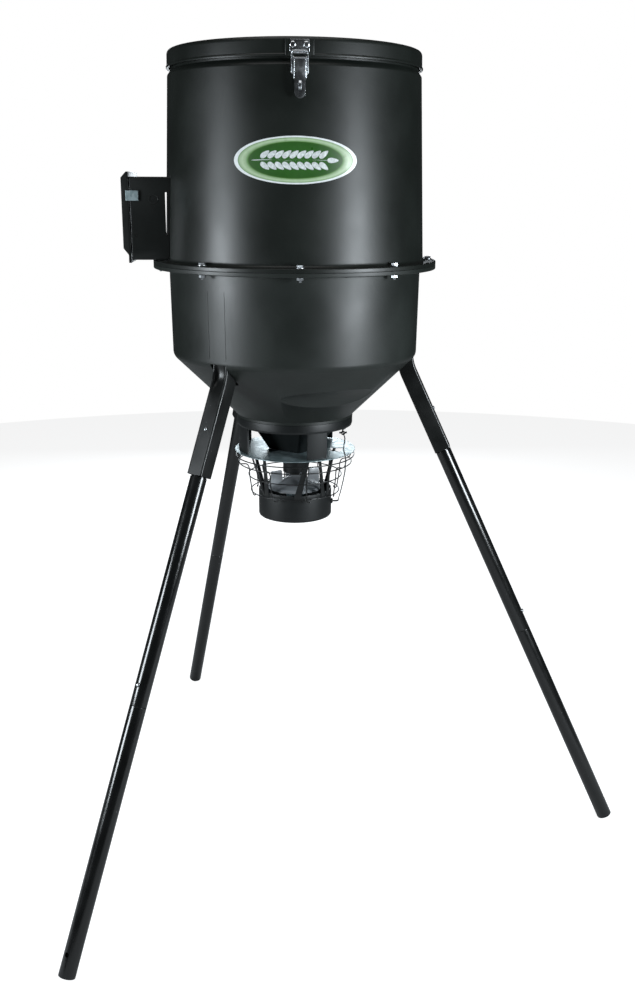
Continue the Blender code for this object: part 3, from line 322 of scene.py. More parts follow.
def worked(mesh, cutters=(), joined=(), bevel=0.0, segments=2, angle=30):
    """The mesh with others joined on, others cut away, and its sharp edges bevelled."""
    obj = bpy.data.objects.new("work", mesh)
    bpy.context.scene.collection.objects.link(obj)
    others = []
    for meshes, operation in ((joined, "UNION"), (cutters, "DIFFERENCE")):
        for other_mesh in meshes:
            other = bpy.data.objects.new("other", other_mesh)
            bpy.context.scene.collection.objects.link(other)
            others.append(other)
            step = obj.modifiers.new(operation, "BOOLEAN")
            step.operation = operation
            step.solver = "EXACT"
            step.object = other
    if bevel:
        edge = obj.modifiers.new("edge", "BEVEL")
        edge.width = bevel
        edge.segments = segments
        edge.limit_method = "ANGLE"
        edge.angle_limit = math.radians(angle)
        edge.use_clamp_overlap = True
    bpy.context.view_layer.update()
    graph = bpy.context.evaluated_depsgraph_get()
    result = bpy.data.meshes.new_from_object(obj.evaluated_get(graph))
    for used in [obj, *others]:
        bpy.data.objects.remove(used)
    return result


def soft_box(low, high, edge):
    """A box with rounded edges."""
    return worked(box(low, high), bevel=edge, segments=3)


def piece(name, mesh, finish, body, *nodes, azimuth=0, sharp=35):
    """A finished piece in its place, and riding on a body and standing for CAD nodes."""
    made = bpy.data.objects.new(name, mesh)
    bpy.context.scene.collection.objects.link(made)
    mesh.transform(Matrix.Translation(AXIS) @ turn_z(azimuth))
    mesh.materials.clear()
    mesh.materials.append(finish)
    mesh.shade_smooth()
    mesh.set_sharp_from_angle(angle=math.radians(sharp))
    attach(made, body)
    if nodes:
        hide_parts(*nodes)


# ---------------------------------------------------------------- materials
def node(tree, kind, inputs=None, **settings):
    """A shader node with its settings made and its inputs linked or set."""
    made = tree.nodes.new(kind)
    for key, value in settings.items():
        setattr(made, key, value)
    for socket, value in (inputs or {}).items():
        if isinstance(value, bpy.types.NodeSocket):
            tree.links.new(value, made.inputs[socket])
        else:
            made.inputs[socket].default_value = value
    return made


def material(name, **uniform):
    """A material with its uniform values set, and its tree, shader and place output."""
    made = bpy.data.materials.new(name)
    made.use_nodes = True
    tree = made.node_tree
    shader = tree.nodes["Principled BSDF"]
    for socket, value in uniform.items():
        shader.inputs[socket.replace("_", " ")].default_value = value
    place = node(tree, "ShaderNodeTexCoord").outputs["Object"]
    return made, tree, shader, place


def noise(tree, place, scale, detail=3.0, stretch=(1, 1, 1)):
    """A noise value between 0 and 1, which may be stretched along an axis."""
    if stretch != (1, 1, 1):
        place = node(tree, "ShaderNodeMapping", {"Vector": place, "Scale": stretch}).outputs[0]
    inputs = {"Vector": place, "Scale": scale, "Detail": detail}
    return node(tree, "ShaderNodeTexNoise", inputs).outputs["Fac"]


def ramp(tree, source, *stops):
    """A colour ramp from (position, colour or grey value) stops."""
    made = node(tree, "ShaderNodeValToRGB", {"Fac": source})
    elements = made.color_ramp.elements
    while len(elements) < len(stops):
        elements.new(0.5)
    for element, (position, value) in zip(elements, stops):
        element.position = position
        color = value if isinstance(value, tuple) else (value,) * 3
        element.color = (*color, 1.0)
    return made.outputs["Color"]


def mixed(tree, factor, first, second, blend="MIX"):
    """Two colours blended by a factor; each may be a socket or a value."""
    made = node(tree, "ShaderNodeMix", data_type="RGBA", blend_type=blend)
    for socket, value in ((0, factor), (6, first), (7, second)):
        if isinstance(value, bpy.types.NodeSocket):
            tree.links.new(value, made.inputs[socket])
        elif socket:
            made.inputs[socket].default_value = (*value, 1.0)
        else:
            made.inputs[socket].default_value = value
    return made.outputs[2]


def scaled(color, factor):
    return tuple(channel * factor for channel in color)


def roughened(tree, source, low, high):
    """A roughness that follows a noise value from low to high."""
    inputs = {"Value": source, "From Min": 0.3, "From Max": 0.7, "To Min": low, "To Max": high}
    return node(tree, "ShaderNodeMapRange", inputs).outputs[0]


def bumped(tree, shader, *layers):
    """Chains bumps of (height source, depth in metres, strength) into the shader."""
    normal = None
    for height, depth, strength in layers:
        inputs = {"Height": height, "Distance": depth, "Strength": strength}
        if normal is not None:
            inputs["Normal"] = normal
        normal = node(tree, "ShaderNodeBump", inputs).outputs[0]
    tree.links.new(normal, shader.inputs["Normal"])


def moulded_plastic(name, color, rough, grain=650.0, grain_depth=0.00012, dust=0.5, **uniform):
    """Moulded plastic: fine grain, faint flow streaks, uneven gloss and a little settled dust."""
    made, tree, shader, place = material(name, **uniform)
    mottle = noise(tree, place, 9.0, 5.0)
    streaks = noise(tree, place, 26.0, 4.0, (1, 1, 0.12))
    body = ramp(tree, mottle, (0.30, scaled(color, 0.80)), (0.70, scaled(color, 1.22)))
    flow = ramp(tree, streaks, (0.35, 0.88), (0.65, 1.0))
    body = mixed(tree, 1.0, body, flow, "MULTIPLY")
    normal = node(tree, "ShaderNodeNewGeometry").outputs["Normal"]
    upward = node(tree, "ShaderNodeSeparateXYZ", {"Vector": normal}).outputs["Z"]
    specks = noise(tree, place, 140.0, 6.0)
    settled = node(tree, "ShaderNodeMath", {0: upward, 1: specks}, operation="MULTIPLY").outputs[0]
    film = ramp(tree, settled, (0.42, 0.0), (0.75, 0.10 * dust))
    tree.links.new(mixed(tree, film, body, (0.16, 0.15, 0.13)), shader.inputs["Base Color"])
    tree.links.new(roughened(tree, mottle, rough * 0.88, rough * 1.14), shader.inputs["Roughness"])
    peel = noise(tree, place, grain, 2.0)
    waves = noise(tree, place, 7.0, 2.0)
    bumped(tree, shader, (waves, 0.004, 0.10), (peel, grain_depth, 0.35))
    return made


def powder_coat(name, color, rough, **uniform):
    """Gloss powder coat: slow orange peel and rare chips down to grey primer."""
    made, tree, shader, place = material(name, **uniform)
    mottle = noise(tree, place, 18.0, 4.0)
    body = ramp(tree, mottle, (0.30, scaled(color, 0.85)), (0.70, scaled(color, 1.2)))
    chips = ramp(tree, noise(tree, place, 190.0, 5.0), (0.735, 0.0), (0.75, 1.0))
    tree.links.new(mixed(tree, chips, body, (0.11, 0.11, 0.11)), shader.inputs["Base Color"])
    tree.links.new(roughened(tree, mottle, rough * 0.8, rough * 1.3), shader.inputs["Roughness"])
    peel = noise(tree, place, 330.0, 1.0)
    bumped(tree, shader, (peel, 0.00010, 0.30), (chips, 0.00012, -0.6))
    return made


def polished_metal(name, color, rough, brushing=(1, 1, 0.05), spread=0.12, depth=0.00003):
    """Plated metal: fine brushing, hazy patches and hairline scratches."""
    made, tree, shader, place = material(name, Metallic=1.0)
    haze = noise(tree, place, 60.0, 4.0)
    tint = ramp(tree, haze, (0.3, scaled(color, 1.0 - spread)), (0.7, scaled(color, 1.0)))
    tree.links.new(tint, shader.inputs["Base Color"])
    tree.links.new(roughened(tree, haze, rough * 0.7, rough * 1.5), shader.inputs["Roughness"])
    brushed = noise(tree, place, 1500.0, 2.0, brushing)
    scratches = ramp(tree, noise(tree, place, 420.0, 3.0, (0.15, 1, 1)), (0.68, 0.0), (0.72, 1.0))
    bumped(tree, shader, (brushed, depth, 0.5), (scratches, depth, -0.5))
    return made


def galvanised(name):
    """Hot-dip galvanised sheet: a blue-grey spangle of flat crystals."""
    made, tree, shader, place = material(name, Metallic=0.45)
    crystals = node(tree, "ShaderNodeTexVoronoi", {"Vector": place, "Scale": 130.0})
    grey = node(tree, "ShaderNodeSeparateColor", {"Color": crystals.outputs["Color"]}).outputs[0]
    tint = ramp(tree, grey, (0.0, (0.22, 0.31, 0.33)), (1.0, (0.42, 0.52, 0.54)))
    clouds = noise(tree, place, 22.0, 4.0)
    stain = ramp(tree, clouds, (0.35, 0.8), (0.7, 1.0))
    tree.links.new(mixed(tree, 1.0, tint, stain, "MULTIPLY"), shader.inputs["Base Color"])
    tree.links.new(roughened(tree, grey, 0.36, 0.48), shader.inputs["Roughness"])
    bumped(tree, shader, (grey, 0.00006, 0.3), (noise(tree, place, 900.0), 0.00003, 0.3))
    return made


def printed_label(name):
    """Vinyl label whose ring colours follow the distance from its middle to its edge."""
    made, tree, shader, place = material(name, Coat_Weight=0.4, Coat_Roughness=0.12)
    ring = node(tree, "ShaderNodeAttribute", attribute_name="ring").outputs["Fac"]
    white, pale, leaf = (0.80, 0.84, 0.84), (0.30, 0.44, 0.25), (0.10, 0.24, 0.06)
    middle, field, deep = (0.035, 0.13, 0.022), (0.026, 0.10, 0.016), (0.035, 0.10, 0.02)
    brightest = (0.46, 0.60, 0.38)
    bands = ramp(
        tree,
        ring,
        *((0.0, middle), (0.70, field), (0.745, deep), (0.765, leaf), (0.80, pale)),
        *((0.86, brightest), (0.91, pale), (0.928, leaf), (0.938, white), (1.0, white)),
    )
    specks = ramp(tree, noise(tree, place, 160.0, 4.0), (0.35, 0.90), (0.65, 1.0))
    tree.links.new(mixed(tree, 1.0, bands, specks, "MULTIPLY"), shader.inputs["Base Color"])
    tree.links.new(roughened(tree, noise(tree, place, 30.0), 0.26, 0.40), shader.inputs["Roughness"])
    bumped(tree, shader, (noise(tree, place, 500.0), 0.00003, 0.3))
    return made


def rubber(name, color, rough):
    """Wire jacket or rubber: soft sheen with fine scuffs."""
    made, tree, shader, place = material(name)
    scuffs = noise(tree, place, 240.0, 5.0)
    tint = ramp(tree, scuffs, (0.35, scaled(color, 0.85)), (0.70, scaled(color, 1.25)))
    tree.links.new(tint, shader.inputs["Base Color"])
    tree.links.new(roughened(tree, scuffs, rough * 0.85, rough * 1.2), shader.inputs["Roughness"])
    bumped(tree, shader, (scuffs, 0.00005, 0.4))
    return made


BARREL_PLASTIC = moulded_plastic("barrel_black_plastic", (0.0066, 0.0090, 0.0074), 0.39)
HOPPER_PLASTIC = moulded_plastic("hopper_black_plastic", (0.0112, 0.0146, 0.0126), 0.44)
KIT_PLASTIC = moulded_plastic("kit_black_plastic", (0.0040, 0.0056, 0.0058), 0.44, 900.0, 0.00008)
BOX_PLASTIC = moulded_plastic("control_box_plastic", (0.0050, 0.0066, 0.0058), 0.40, 1400.0, 0.0001)
SMOKED = moulded_plastic(
    "smoked_clear_plastic",
    (0.42, 0.44, 0.46),
    0.22,
    900.0,
    0.00005,
    0.2,
    Transmission_Weight=0.55,
    IOR=1.49,
)
LEG_PAINT = powder_coat(
    "leg_gloss_powder_coat", (0.0050, 0.0055, 0.0055), 0.20, Coat_Weight=0.25, Coat_Roughness=0.1
)
BRACKET_PAINT = powder_coat("bracket_satin_powder_coat", (0.0060, 0.0068, 0.0065), 0.33)
CHROME = polished_metal("latch_chrome", (0.80, 0.83, 0.86), 0.21, spread=0.08)
ZINC = polished_metal("bright_zinc", (0.52, 0.54, 0.56), 0.30, (1, 1, 1), 0.25)
GALVANISED = galvanised("galvanised_sheet")
LABEL = printed_label("oval_vinyl_label")
LABEL_MARK = rubber("label_white_print", (0.62, 0.66, 0.66), 0.34)
BLACK_WIRE = powder_coat("cage_black_wire", (0.0070, 0.0075, 0.0075), 0.30)
BLACK_JACKET = rubber("lead_black_jacket", (0.012, 0.013, 0.013), 0.42)
GREY_JACKET = rubber("lead_grey_jacket", (0.26, 0.27, 0.27), 0.42)
CELL_CASE = moulded_plastic("battery_case", (0.040, 0.055, 0.090), 0.40, 800.0, 0.00008)
BOARD_CASE = moulded_plastic("timer_case", (0.42, 0.43, 0.42), 0.45, 900.0, 0.00008)
BUTTON_RED = moulded_plastic("red_button", (0.40, 0.030, 0.020), 0.35, 900.0, 0.00005)


# ---------------------------------------------------------------- barrel
def barrel_radius(height):
    """Outer radius of the upper barrel, which widens towards its flange."""
    share = (1.566 - height) / (1.566 - 1.2545)
    return BARREL_RADIUS + share * (BARREL_FLANGE_RADIUS - BARREL_RADIUS)


def make_lid():
    """Cap with a sunk panel, a bead round its edge and a flat pad for each latch keeper."""
    panel = LID_TOP - 0.0035
    rim, bead = LID_RADIUS, LID_RADIUS + 0.0022
    profile = [
        *((0, panel), (0.188, panel, 0.004), (0.194, LID_TOP, 0.004), (rim, LID_TOP, 0.0085)),
        *((rim + 0.0006, LID_BOTTOM + 0.0045, 0.002), (bead, LID_BOTTOM + 0.0030, 0.0012)),
        *((bead, LID_BOTTOM, 0.0008), (rim - 0.0032, LID_BOTTOM, 0.0008)),
        *((rim - 0.0036, LID_TOP - 0.0042, 0.003), (0.2, LID_TOP - 0.0042)),
        *((0.192, panel - 0.0042), (0, panel - 0.0042)),
    ]
    lid = revolve(rounded(profile, 5), ROUND)
    pads = [soft_box((-0.025, -0.2440, LID_BOTTOM + 0.0008), (0.025, -0.2390, LID_TOP - 0.004), 0.0018)]
    pads.append(moved(pads[0].copy(), turn_z(180)))
    piece("lid_moulding", worked(lid, joined=pads), BARREL_PLASTIC, "lid", "lid")


def bolt_hole_cutter(low, high):
    """All eight bolt holes of a flange as one cutter."""
    holes = [
        rod(around(azimuth, BOLT_CIRCLE, low), around(azimuth, BOLT_CIRCLE, high), 0.0035, sides=16)
        for azimuth in BOLT_AZIMUTHS
    ]
    return merged(*holes)


def make_upper_barrel():
    """Barrel wall with its rim, flange, bolt holes and the hole for the lead."""
    top = FLANGE_JOINT + FLANGE_THICKNESS
    root = barrel_radius(top + 0.008)
    neck = BARREL_RADIUS - 0.007
    profile = [
        *((neck - 0.0035, BARREL_TOP, 0.001), (neck, BARREL_TOP, 0.001), (neck, 1.5785, 0.002)),
        *((BARREL_RADIUS, 1.5690, 0.006), (root, top, 0.0075), (FLANGE_RADIUS, top, 0.0018)),
        *((FLANGE_RADIUS, FLANGE_JOINT, 0.0005), (root - WALL, FLANGE_JOINT, 0.0005)),
        *((BARREL_RADIUS - WALL, 1.5600, 0.004), (neck - 0.0035, 1.5700, 0.003)),
    ]
    barrel = revolve(rounded(profile, 5), ROUND)
    holes = bolt_hole_cutter(FLANGE_JOINT - 0.002, top + 0.002)
    low, high = (around(LEAD_AZIMUTH, radius, LEAD_PASSAGE_Z) for radius in (0.20, 0.27))
    passage = rod(low, high, LEAD_PASSAGE_RADIUS)
    piece("upper_barrel_moulding", worked(barrel, [holes, passage]), BARREL_PLASTIC, "feeder", "upper_barrel")


def shoulder(inset):
    """The hopper's shoulder and cone as outline points, offset inwards by an inset."""
    slope = math.atan2(SHOULDER_Z - CONE_BOTTOM, SHOULDER_RADIUS - CONE_RADIUS)
    tangent = SHOULDER_ROUNDING * math.tan((math.pi / 2 - slope) / 2)
    middle = (SHOULDER_RADIUS - SHOULDER_ROUNDING, SHOULDER_Z + tangent)
    turn = math.pi / 2 - slope
    points = []
    for step in range(11):
        angle = -turn * step / 10
        size = SHOULDER_ROUNDING - inset
        points.append((middle[0] + size * math.cos(angle), middle[1] + size * math.sin(angle)))
    rise = inset * (1 / math.cos(slope) - math.tan(slope))
    points.append((CONE_RADIUS - inset, CONE_BOTTOM + rise))
    return points


def cone_mark():
    """A faint raised oval bead on the cone's front, wrapped round its slope."""
    slope = math.atan2(SHOULDER_Z - CONE_BOTTOM, SHOULDER_RADIUS - CONE_RADIUS)
    middle, half_turn, half_rise, bead = 0.178, 33.0, 0.027, 0.0024
    points = []
    for step in range(96):
        angle = 2 * math.pi * step / 96
        climb = half_rise * math.sin(angle)
        radius = middle + climb * math.cos(slope)
        height = CONE_BOTTOM + (radius - CONE_RADIUS) * math.tan(slope) + bead * 0.62
        points.append(around(22 + half_turn * math.cos(angle), radius - bead * 0.62, height))
    return sweep(points, bead, 12, cyclic=True)


def socket_lines(top):
    """Shallow moulding lines down the hopper's wall on both sides of a leg socket."""
    low, depth = SHOULDER_Z + 0.012, 0.0014
    taper = (HOPPER_RADIUS - SHOULDER_RADIUS) / (FLANGE_JOINT - 0.014 - low)
    inner, outer, half_width = SHOULDER_RADIUS - depth, 0.26, 0.0005
    outline = [(inner, low), (outer, low), (outer, top), (inner + taper * (top - low), top)]
    return [prism(outline, x - half_width, x + half_width) for x in (-0.0195, 0.0195)]


def make_lower_hopper():
    """Hopper with its flange, cone and three leg sockets, hollow all through."""
    top = FLANGE_JOINT - GAP
    lip = top - FLANGE_THICKNESS
    head = [(0, top), (FLANGE_RADIUS, top, 0.0005), (FLANGE_RADIUS, lip, 0.0018)]
    head.append((HOPPER_RADIUS, lip, 0.006))
    foot = [(CONE_RADIUS, NECK_BOTTOM), (0, NECK_BOTTOM)]
    hopper = revolve(rounded(head, 5) + shoulder(0) + foot, ROUND)
    inside = [(0, top + 0.01), (HOPPER_RADIUS - WALL, top + 0.01)] + shoulder(WALL)
    inside += [(CONE_RADIUS - WALL, NECK_BOTTOM - 0.01), (0, NECK_BOTTOM - 0.01)]
    half = BRACKET_WIDTH / 2 + 0.001
    inner = BRACKET_RISER - BRACKET_DEPTH / 2 - 0.0015
    outer = BRACKET_RISER + BRACKET_DEPTH / 2 + 0.0012
    socket_top = BRACKET_TOP + 0.0006
    notch_top = SHOULDER_Z + 0.004
    pocket = [(inner, 0.98), (0.30, 0.98), (0.30, notch_top)]
    pocket += [(outer, notch_top), (outer, socket_top), (inner, socket_top)]
    sockets, saddles = [], []
    for azimuth in LEG_AZIMUTHS.values():
        sockets += [moved(groove, turn_z(azimuth)) for groove in socket_lines(socket_top)]
        sockets.append(moved(prism(pocket, -half, half), turn_z(azimuth)))
        low = (-half - 0.0035, -0.30, 0.97)
        high = (half + 0.0035, 0.0035 - inner, socket_top + 0.0035)
        saddles.append(moved(box(low, high), turn_z(azimuth)))
    cavity = worked(revolve(inside, ROUND), [merged(*saddles)])
    holes = bolt_hole_cutter(lip - 0.002, top + 0.002)
    shaped = worked(hopper, [*sockets, cavity, holes], [cone_mark()])
    piece("lower_hopper_moulding", shaped, HOPPER_PLASTIC, "feeder", "lower_hopper")


def threaded(radius, top, bottom, pitch=0.0010):
    """The side outline of a screw shank with rolled threads and a pointed-off end."""
    points = [(radius, top)]
    turns = int((top - bottom) / pitch * 0.6)
    start = bottom + turns * pitch
    for turn in range(turns):
        points.append((radius, start - turn * pitch))
        points.append((radius - 0.0003, start - (turn + 0.5) * pitch))
    return points + [(radius - 0.0006, bottom), (0, bottom)]


def hexagon(size, low, high, chamfer):
    """A hexagon head or nut with chamfered ends."""
    profile = [(0, low), (size - chamfer, low), (size, low + chamfer * 0.6), (size, high - chamfer * 0.6)]
    return revolve(profile + [(size - chamfer, high), (0, high)], 6)


def make_fasteners():
    """Hexagon bolts with washers above the flange, and nuts below it."""
    seat = FLANGE_JOINT + FLANGE_THICKNESS + GAP
    under = FLANGE_JOINT - GAP * 2 - FLANGE_THICKNESS
    washer = [(0.0033, seat, 0.0002), (0.0082, seat, 0.0003), (0.0082, seat + 0.0014, 0.0004)]
    washer = revolve(rounded(washer + [(0.0033, seat + 0.0014, 0.0002)]), 32)
    bottom = under - 0.0085
    shank = revolve([(0, seat + 0.002)] + threaded(0.0030, seat + 0.002, bottom), 20)
    head = hexagon(0.0063, seat + 0.0015, seat + 0.0056, 0.0007)
    bore = rod((0, 0, under - 0.01), (0, 0, under + 0.01), 0.0033)
    nut = worked(hexagon(0.0063, under - 0.0052, under, 0.0006), [bore])
    for index, azimuth in enumerate(BOLT_AZIMUTHS, 1):
        for kind, mesh in (("bolt", merged(washer, shank, head)), ("nut", nut.copy())):
            place = Matrix.Translation(around(azimuth, BOLT_CIRCLE, 0)) @ turn_z(azimuth * 1.7 + 11)
            moved(mesh, place)
            fastener = f"flange_{kind}_{index}"
            piece(fastener + "_hex", mesh, ZINC, "feeder", fastener, sharp=25)


# ---------------------------------------------------------------- label
def on_barrel(across, up, proud):
    """A point on the barrel's wall, from a flat label's own coordinates."""
    height = LABEL_Z + up
    azimuth = LABEL_AZIMUTH + math.degrees(across / BARREL_RADIUS)
    return around(azimuth, barrel_radius(height) + proud, height)


def patch(outline, proud, thickness, rings=6):
    """A thin sheet that follows the barrel, from rings scaled down from an outline, and its ring values."""
    count = len(outline)
    verts, faces, values = [], [], []
    for layer, scales in ((proud, range(rings, 0, -1)), (proud - thickness, (rings,))):
        for scale in scales:
            share = scale / rings
            verts += [on_barrel(x * share, y * share, layer) for x, y in outline]
            values += [share] * count
    verts += [on_barrel(0, 0, proud), on_barrel(0, 0, proud - thickness)]
    values += [0.0, 0.0]
    for side in range(count):
        after = (side + 1) % count
        for ring in range(rings - 1):
            first, other = ring * count, (ring + 1) * count
            faces.append([first + side, first + after, other + after, other + side])
        back = rings * count
        faces.append([(rings - 1) * count + side, (rings - 1) * count + after, len(verts) - 2])
        faces.append([side, after, back + after, back + side])
        faces.append([back + side, back + after, len(verts) - 1])
    return mesh_from(verts, faces), values


def make_label():
    """Oval label, bowed round the barrel, with its mark."""
    outline = []
    for step in range(120):
        angle = 2 * math.pi * step / 120
        outline.append((LABEL_HALF_WIDTH * math.cos(angle), LABEL_HALF_HEIGHT * math.sin(angle)))
    mesh, values = patch(outline, 0.0006, 0.0004, 24)
    ring = mesh.attributes.new("ring", "FLOAT", "POINT")
    ring.data.foreach_set("value", values)
    piece("front_label", mesh, LABEL, "feeder")
    piece("front_label_grain_mark", merged(*grain_mark()), LABEL_MARK, "feeder")


def leaf(middle, length, width, lean):
    """A pointed kernel outline on the label, and a closed sheet from it."""
    points = []
    for step in range(20):
        angle = 2 * math.pi * step / 20
        along = math.cos(angle) * length / 2
        across = math.sin(angle) * width / 2 * (1 - 0.35 * math.cos(angle))
        turned = Vector((along, across)) @ Matrix.Rotation(-lean, 2)
        points.append((middle[0] + turned.x, middle[1] + turned.y))
    count = len(points)
    verts = [on_barrel(x, y, 0.0012) for x, y in points] + [on_barrel(x, y, 0.0007) for x, y in points]
    faces = [list(range(count)), list(range(count, 2 * count))]
    faces += [[i, (i + 1) % count, count + (i + 1) % count, count + i] for i in range(count)]
    return mesh_from(verts, faces)


def grain_mark():
    """A generic ear of grain lying along the label: a stem with pairs of kernels."""
    parts = []
    for step in range(9):
        x = -0.052 + 0.0125 * step
        for side in (1, -1):
            parts.append(leaf((x, side * 0.0098), 0.0186, 0.0086, side * 0.66))
    parts.append(leaf((0.0640, 0.0), 0.0200, 0.0084, 0.0))
    parts.append(leaf((-0.010, 0.0), 0.1320, 0.0026, 0.0))
    return parts


# ---------------------------------------------------------------- legs
def leg_reach(height):
    """Distance of a leg's axis from the barrel's axis at a height."""
    return FOOT_CIRCLE - math.tan(LEG_LEAN) * height


FOOT_Z = 0.015875 * math.cos(math.pi / 16) * math.sin(LEG_LEAN) - 0.0006
LOWER_LENGTH = (TUBE_JOINT_Z - FOOT_Z) / math.cos(LEG_LEAN)
BRACKET_DISTANCE = (BRACKET_BUTTON_Z - FOOT_Z) / math.cos(LEG_LEAN)


def leg_matrix(distance):
    """Frame of a leg tube: +Z up its axis, -Y outwards, at a distance from its bottom end."""
    foot = Vector((0, -leg_reach(FOOT_Z), FOOT_Z))
    up = Vector((0, math.sin(LEG_LEAN), math.cos(LEG_LEAN)))
    return Matrix.Translation(foot + up * distance) @ Matrix.Rotation(-LEG_LEAN, 4, "X")


def make_tube(name, side, distance, length, swage, holes):
    """A leg tube with a rolled shoulder, a swaged end and round button holes."""
    neck = SWAGE_RADIUS - 0.0012
    profile = [
        *((neck, length + swage, 0.0005), (SWAGE_RADIUS - 0.0006, length + swage, 0.0008)),
        *((SWAGE_RADIUS, length + swage - 0.006, 0.003), (SWAGE_RADIUS, length, 0.0003)),
        *((TUBE_RADIUS, length, 0.0009), (TUBE_RADIUS, 0, 0.0004), (TUBE_RADIUS - 0.00115, 0, 0.0003)),
        *((TUBE_RADIUS - 0.00115, length - 0.005, 0.002), (neck, length + 0.001, 0.002)),
    ]
    mesh = revolve(rounded(profile), 56)
    cutters = [rod((0, 0, height), (0, -0.03, height), BUTTON_HOLE) for height in holes]
    place = leg_matrix(distance)
    if not distance:
        cutters.append(moved(box((-0.1, -0.8, -0.1), (0.1, -0.6, 0.0)), place.inverted()))
    mesh = moved(worked(mesh, cutters), place)
    piece(name + "_finish", mesh, LEG_PAINT, "feeder", name, azimuth=LEG_AZIMUTHS[side])


def bracket_line():
    """Stations down the bracket's centre line: reach, height, lean and how far the bend pinches there."""
    bend_z = (FOOT_CIRCLE - BRACKET_RISER) / math.tan(LEG_LEAN)
    tangent = BRACKET_BEND * math.tan(LEG_LEAN / 2)
    stations = []
    straight = BRACKET_TOP - bend_z - tangent
    for step in range(13):
        stations.append((BRACKET_RISER, BRACKET_TOP - straight * step / 12, 0.0))
    for step in range(1, 21):
        angle = LEG_LEAN * step / 20
        reach = BRACKET_RISER + BRACKET_BEND * (1 - math.cos(angle))
        stations.append((reach, bend_z + tangent - BRACKET_BEND * math.sin(angle), angle))
    start = stations[-1]
    down = (start[1] - BRACKET_END_Z) / math.cos(LEG_LEAN)
    for step in range(1, 31):
        along = down * (step / 30) ** 1.3
        reach = start[0] + along * math.sin(LEG_LEAN)
        stations.append((reach, start[1] - along * math.cos(LEG_LEAN), LEG_LEAN))
    middle = bend_z - 0.002
    return [(*station, pinch_share(station[1] - middle)) for station in stations]


def pinch_share(offset):
    """How strongly the bend's outer face is drawn in, falling off above and below its middle."""
    return math.exp(-((offset / (0.030 if offset > 0 else 0.024)) ** 2))


def bracket_section(inset, pinch):
    """A rounded rectangle of (x, depth) points whose outer side dips between two ridges."""
    half, depth = BRACKET_WIDTH / 2 - inset, BRACKET_DEPTH / 2 - inset
    corner = max(BRACKET_CORNER - inset, 0.0008)
    points = []
    for quarter, (sx, sy) in enumerate(((1, 1), (-1, 1), (-1, -1), (1, -1))):
        for step in range(6):
            angle = math.radians(90 * quarter + 90 * step / 5)
            x = sx * (half - corner) + corner * math.cos(angle)
            points.append((x, sy * (depth - corner) + corner * math.sin(angle)))
        if quarter in (0, 2):
            edge = half - corner
            for step in range(1, 16):
                points.append(((1 if quarter == 0 else -1) * (edge - 2 * edge * step / 16), sy * depth))
    drawn = []
    for x, y in points:
        if y > depth - corner:
            dip = max(0.0, 1 - (abs(x) / (half - 0.0045)) ** 4) * pinch * BRACKET_PINCH
            y -= dip * min(1.0, (y - depth + corner) / corner)
        drawn.append((x, y))
    return drawn


def bracket_mesh():
    """A square tube bent at the hopper's shoulder, open at both ends."""
    stations = bracket_line()
    verts, faces = [], []
    for inset in (0.0, BRACKET_WALL):
        for reach, height, lean, pinch in stations:
            for x, depth in bracket_section(inset, pinch):
                verts.append((x, -(reach + depth * math.cos(lean)), height + depth * math.sin(lean)))
    count = len(bracket_section(0, 0))
    layer = count * len(stations)
    for wall in (0, layer):
        for station in range(len(stations) - 1):
            for side in range(count):
                after = (side + 1) % count
                first, other = wall + station * count, wall + (station + 1) * count
                faces.append([first + side, first + after, other + after, other + side])
    for end in (0, layer - count):
        for side in range(count):
            after = (side + 1) % count
            faces.append([end + side, end + after, layer + end + after, layer + end + side])
    return mesh_from(verts, faces)


def make_button(name, side, distance, reach):
    """A pressed steel button with a domed head on a bent spring leaf."""
    radius = BUTTON_RADIUS
    stem = reach - 0.0065
    profile = [(0, 0)]
    for step in range(1, 9):
        angle = math.radians(90 * step / 8)
        profile.append((radius * math.sin(angle), -0.0021 * (1 - math.cos(angle))))
    profile += [(radius, -stem), (0, -stem)]
    dome = moved(revolve(profile, 28), facing(0, -reach, 0))
    leaf_reach = SWAGE_RADIUS - 0.0030
    spring = [(leaf_reach, 0.006), (leaf_reach, -0.024), (0.002, -0.038), (-0.0050, -0.022)]
    line = rounded([(*point, 0.012) if 0 < index < 3 else point for index, point in enumerate(spring)], 6)
    outline = line + [(reach_ - 0.0006, height - 0.0004) for reach_, height in reversed(line)]
    mesh = moved(merged(dome, prism(outline, -0.004, 0.004)), leg_matrix(distance))
    piece(name + "_domed", mesh, ZINC, name, name, azimuth=LEG_AZIMUTHS[side])


def make_leg(side):
    """One leg: lower tube, upper tube, bracket and two snap buttons."""
    upper_start = LOWER_LENGTH + GAP
    upper_length = (BRACKET_END_Z - 0.002 - FOOT_Z) / math.cos(LEG_LEAN) - upper_start
    button = LOWER_LENGTH + TUBE_BUTTON_RISE
    make_tube(f"lower_leg_tube_{side}", side, 0, LOWER_LENGTH, 0.065, [0.041, button])
    holes = [TUBE_BUTTON_RISE - GAP, BRACKET_DISTANCE - upper_start]
    make_tube(f"upper_leg_tube_{side}", side, upper_start, upper_length, 0.110, holes)
    hole = moved(rod((0, 0, 0), (0, -0.04, 0), BUTTON_HOLE), leg_matrix(BRACKET_DISTANCE))
    azimuth = LEG_AZIMUTHS[side]
    mesh = worked(bracket_mesh(), [hole])
    name = f"leg_bracket_{side}"
    piece(name + "_bent", mesh, BRACKET_PAINT, "feeder", name, azimuth=azimuth, sharp=40)
    make_button(f"tube_button_{side}", side, button, TUBE_RADIUS + BUTTON_PROUD)
    make_button(f"bracket_button_{side}", side, BRACKET_DISTANCE, BRACKET_DEPTH / 2 + BUTTON_PROUD)


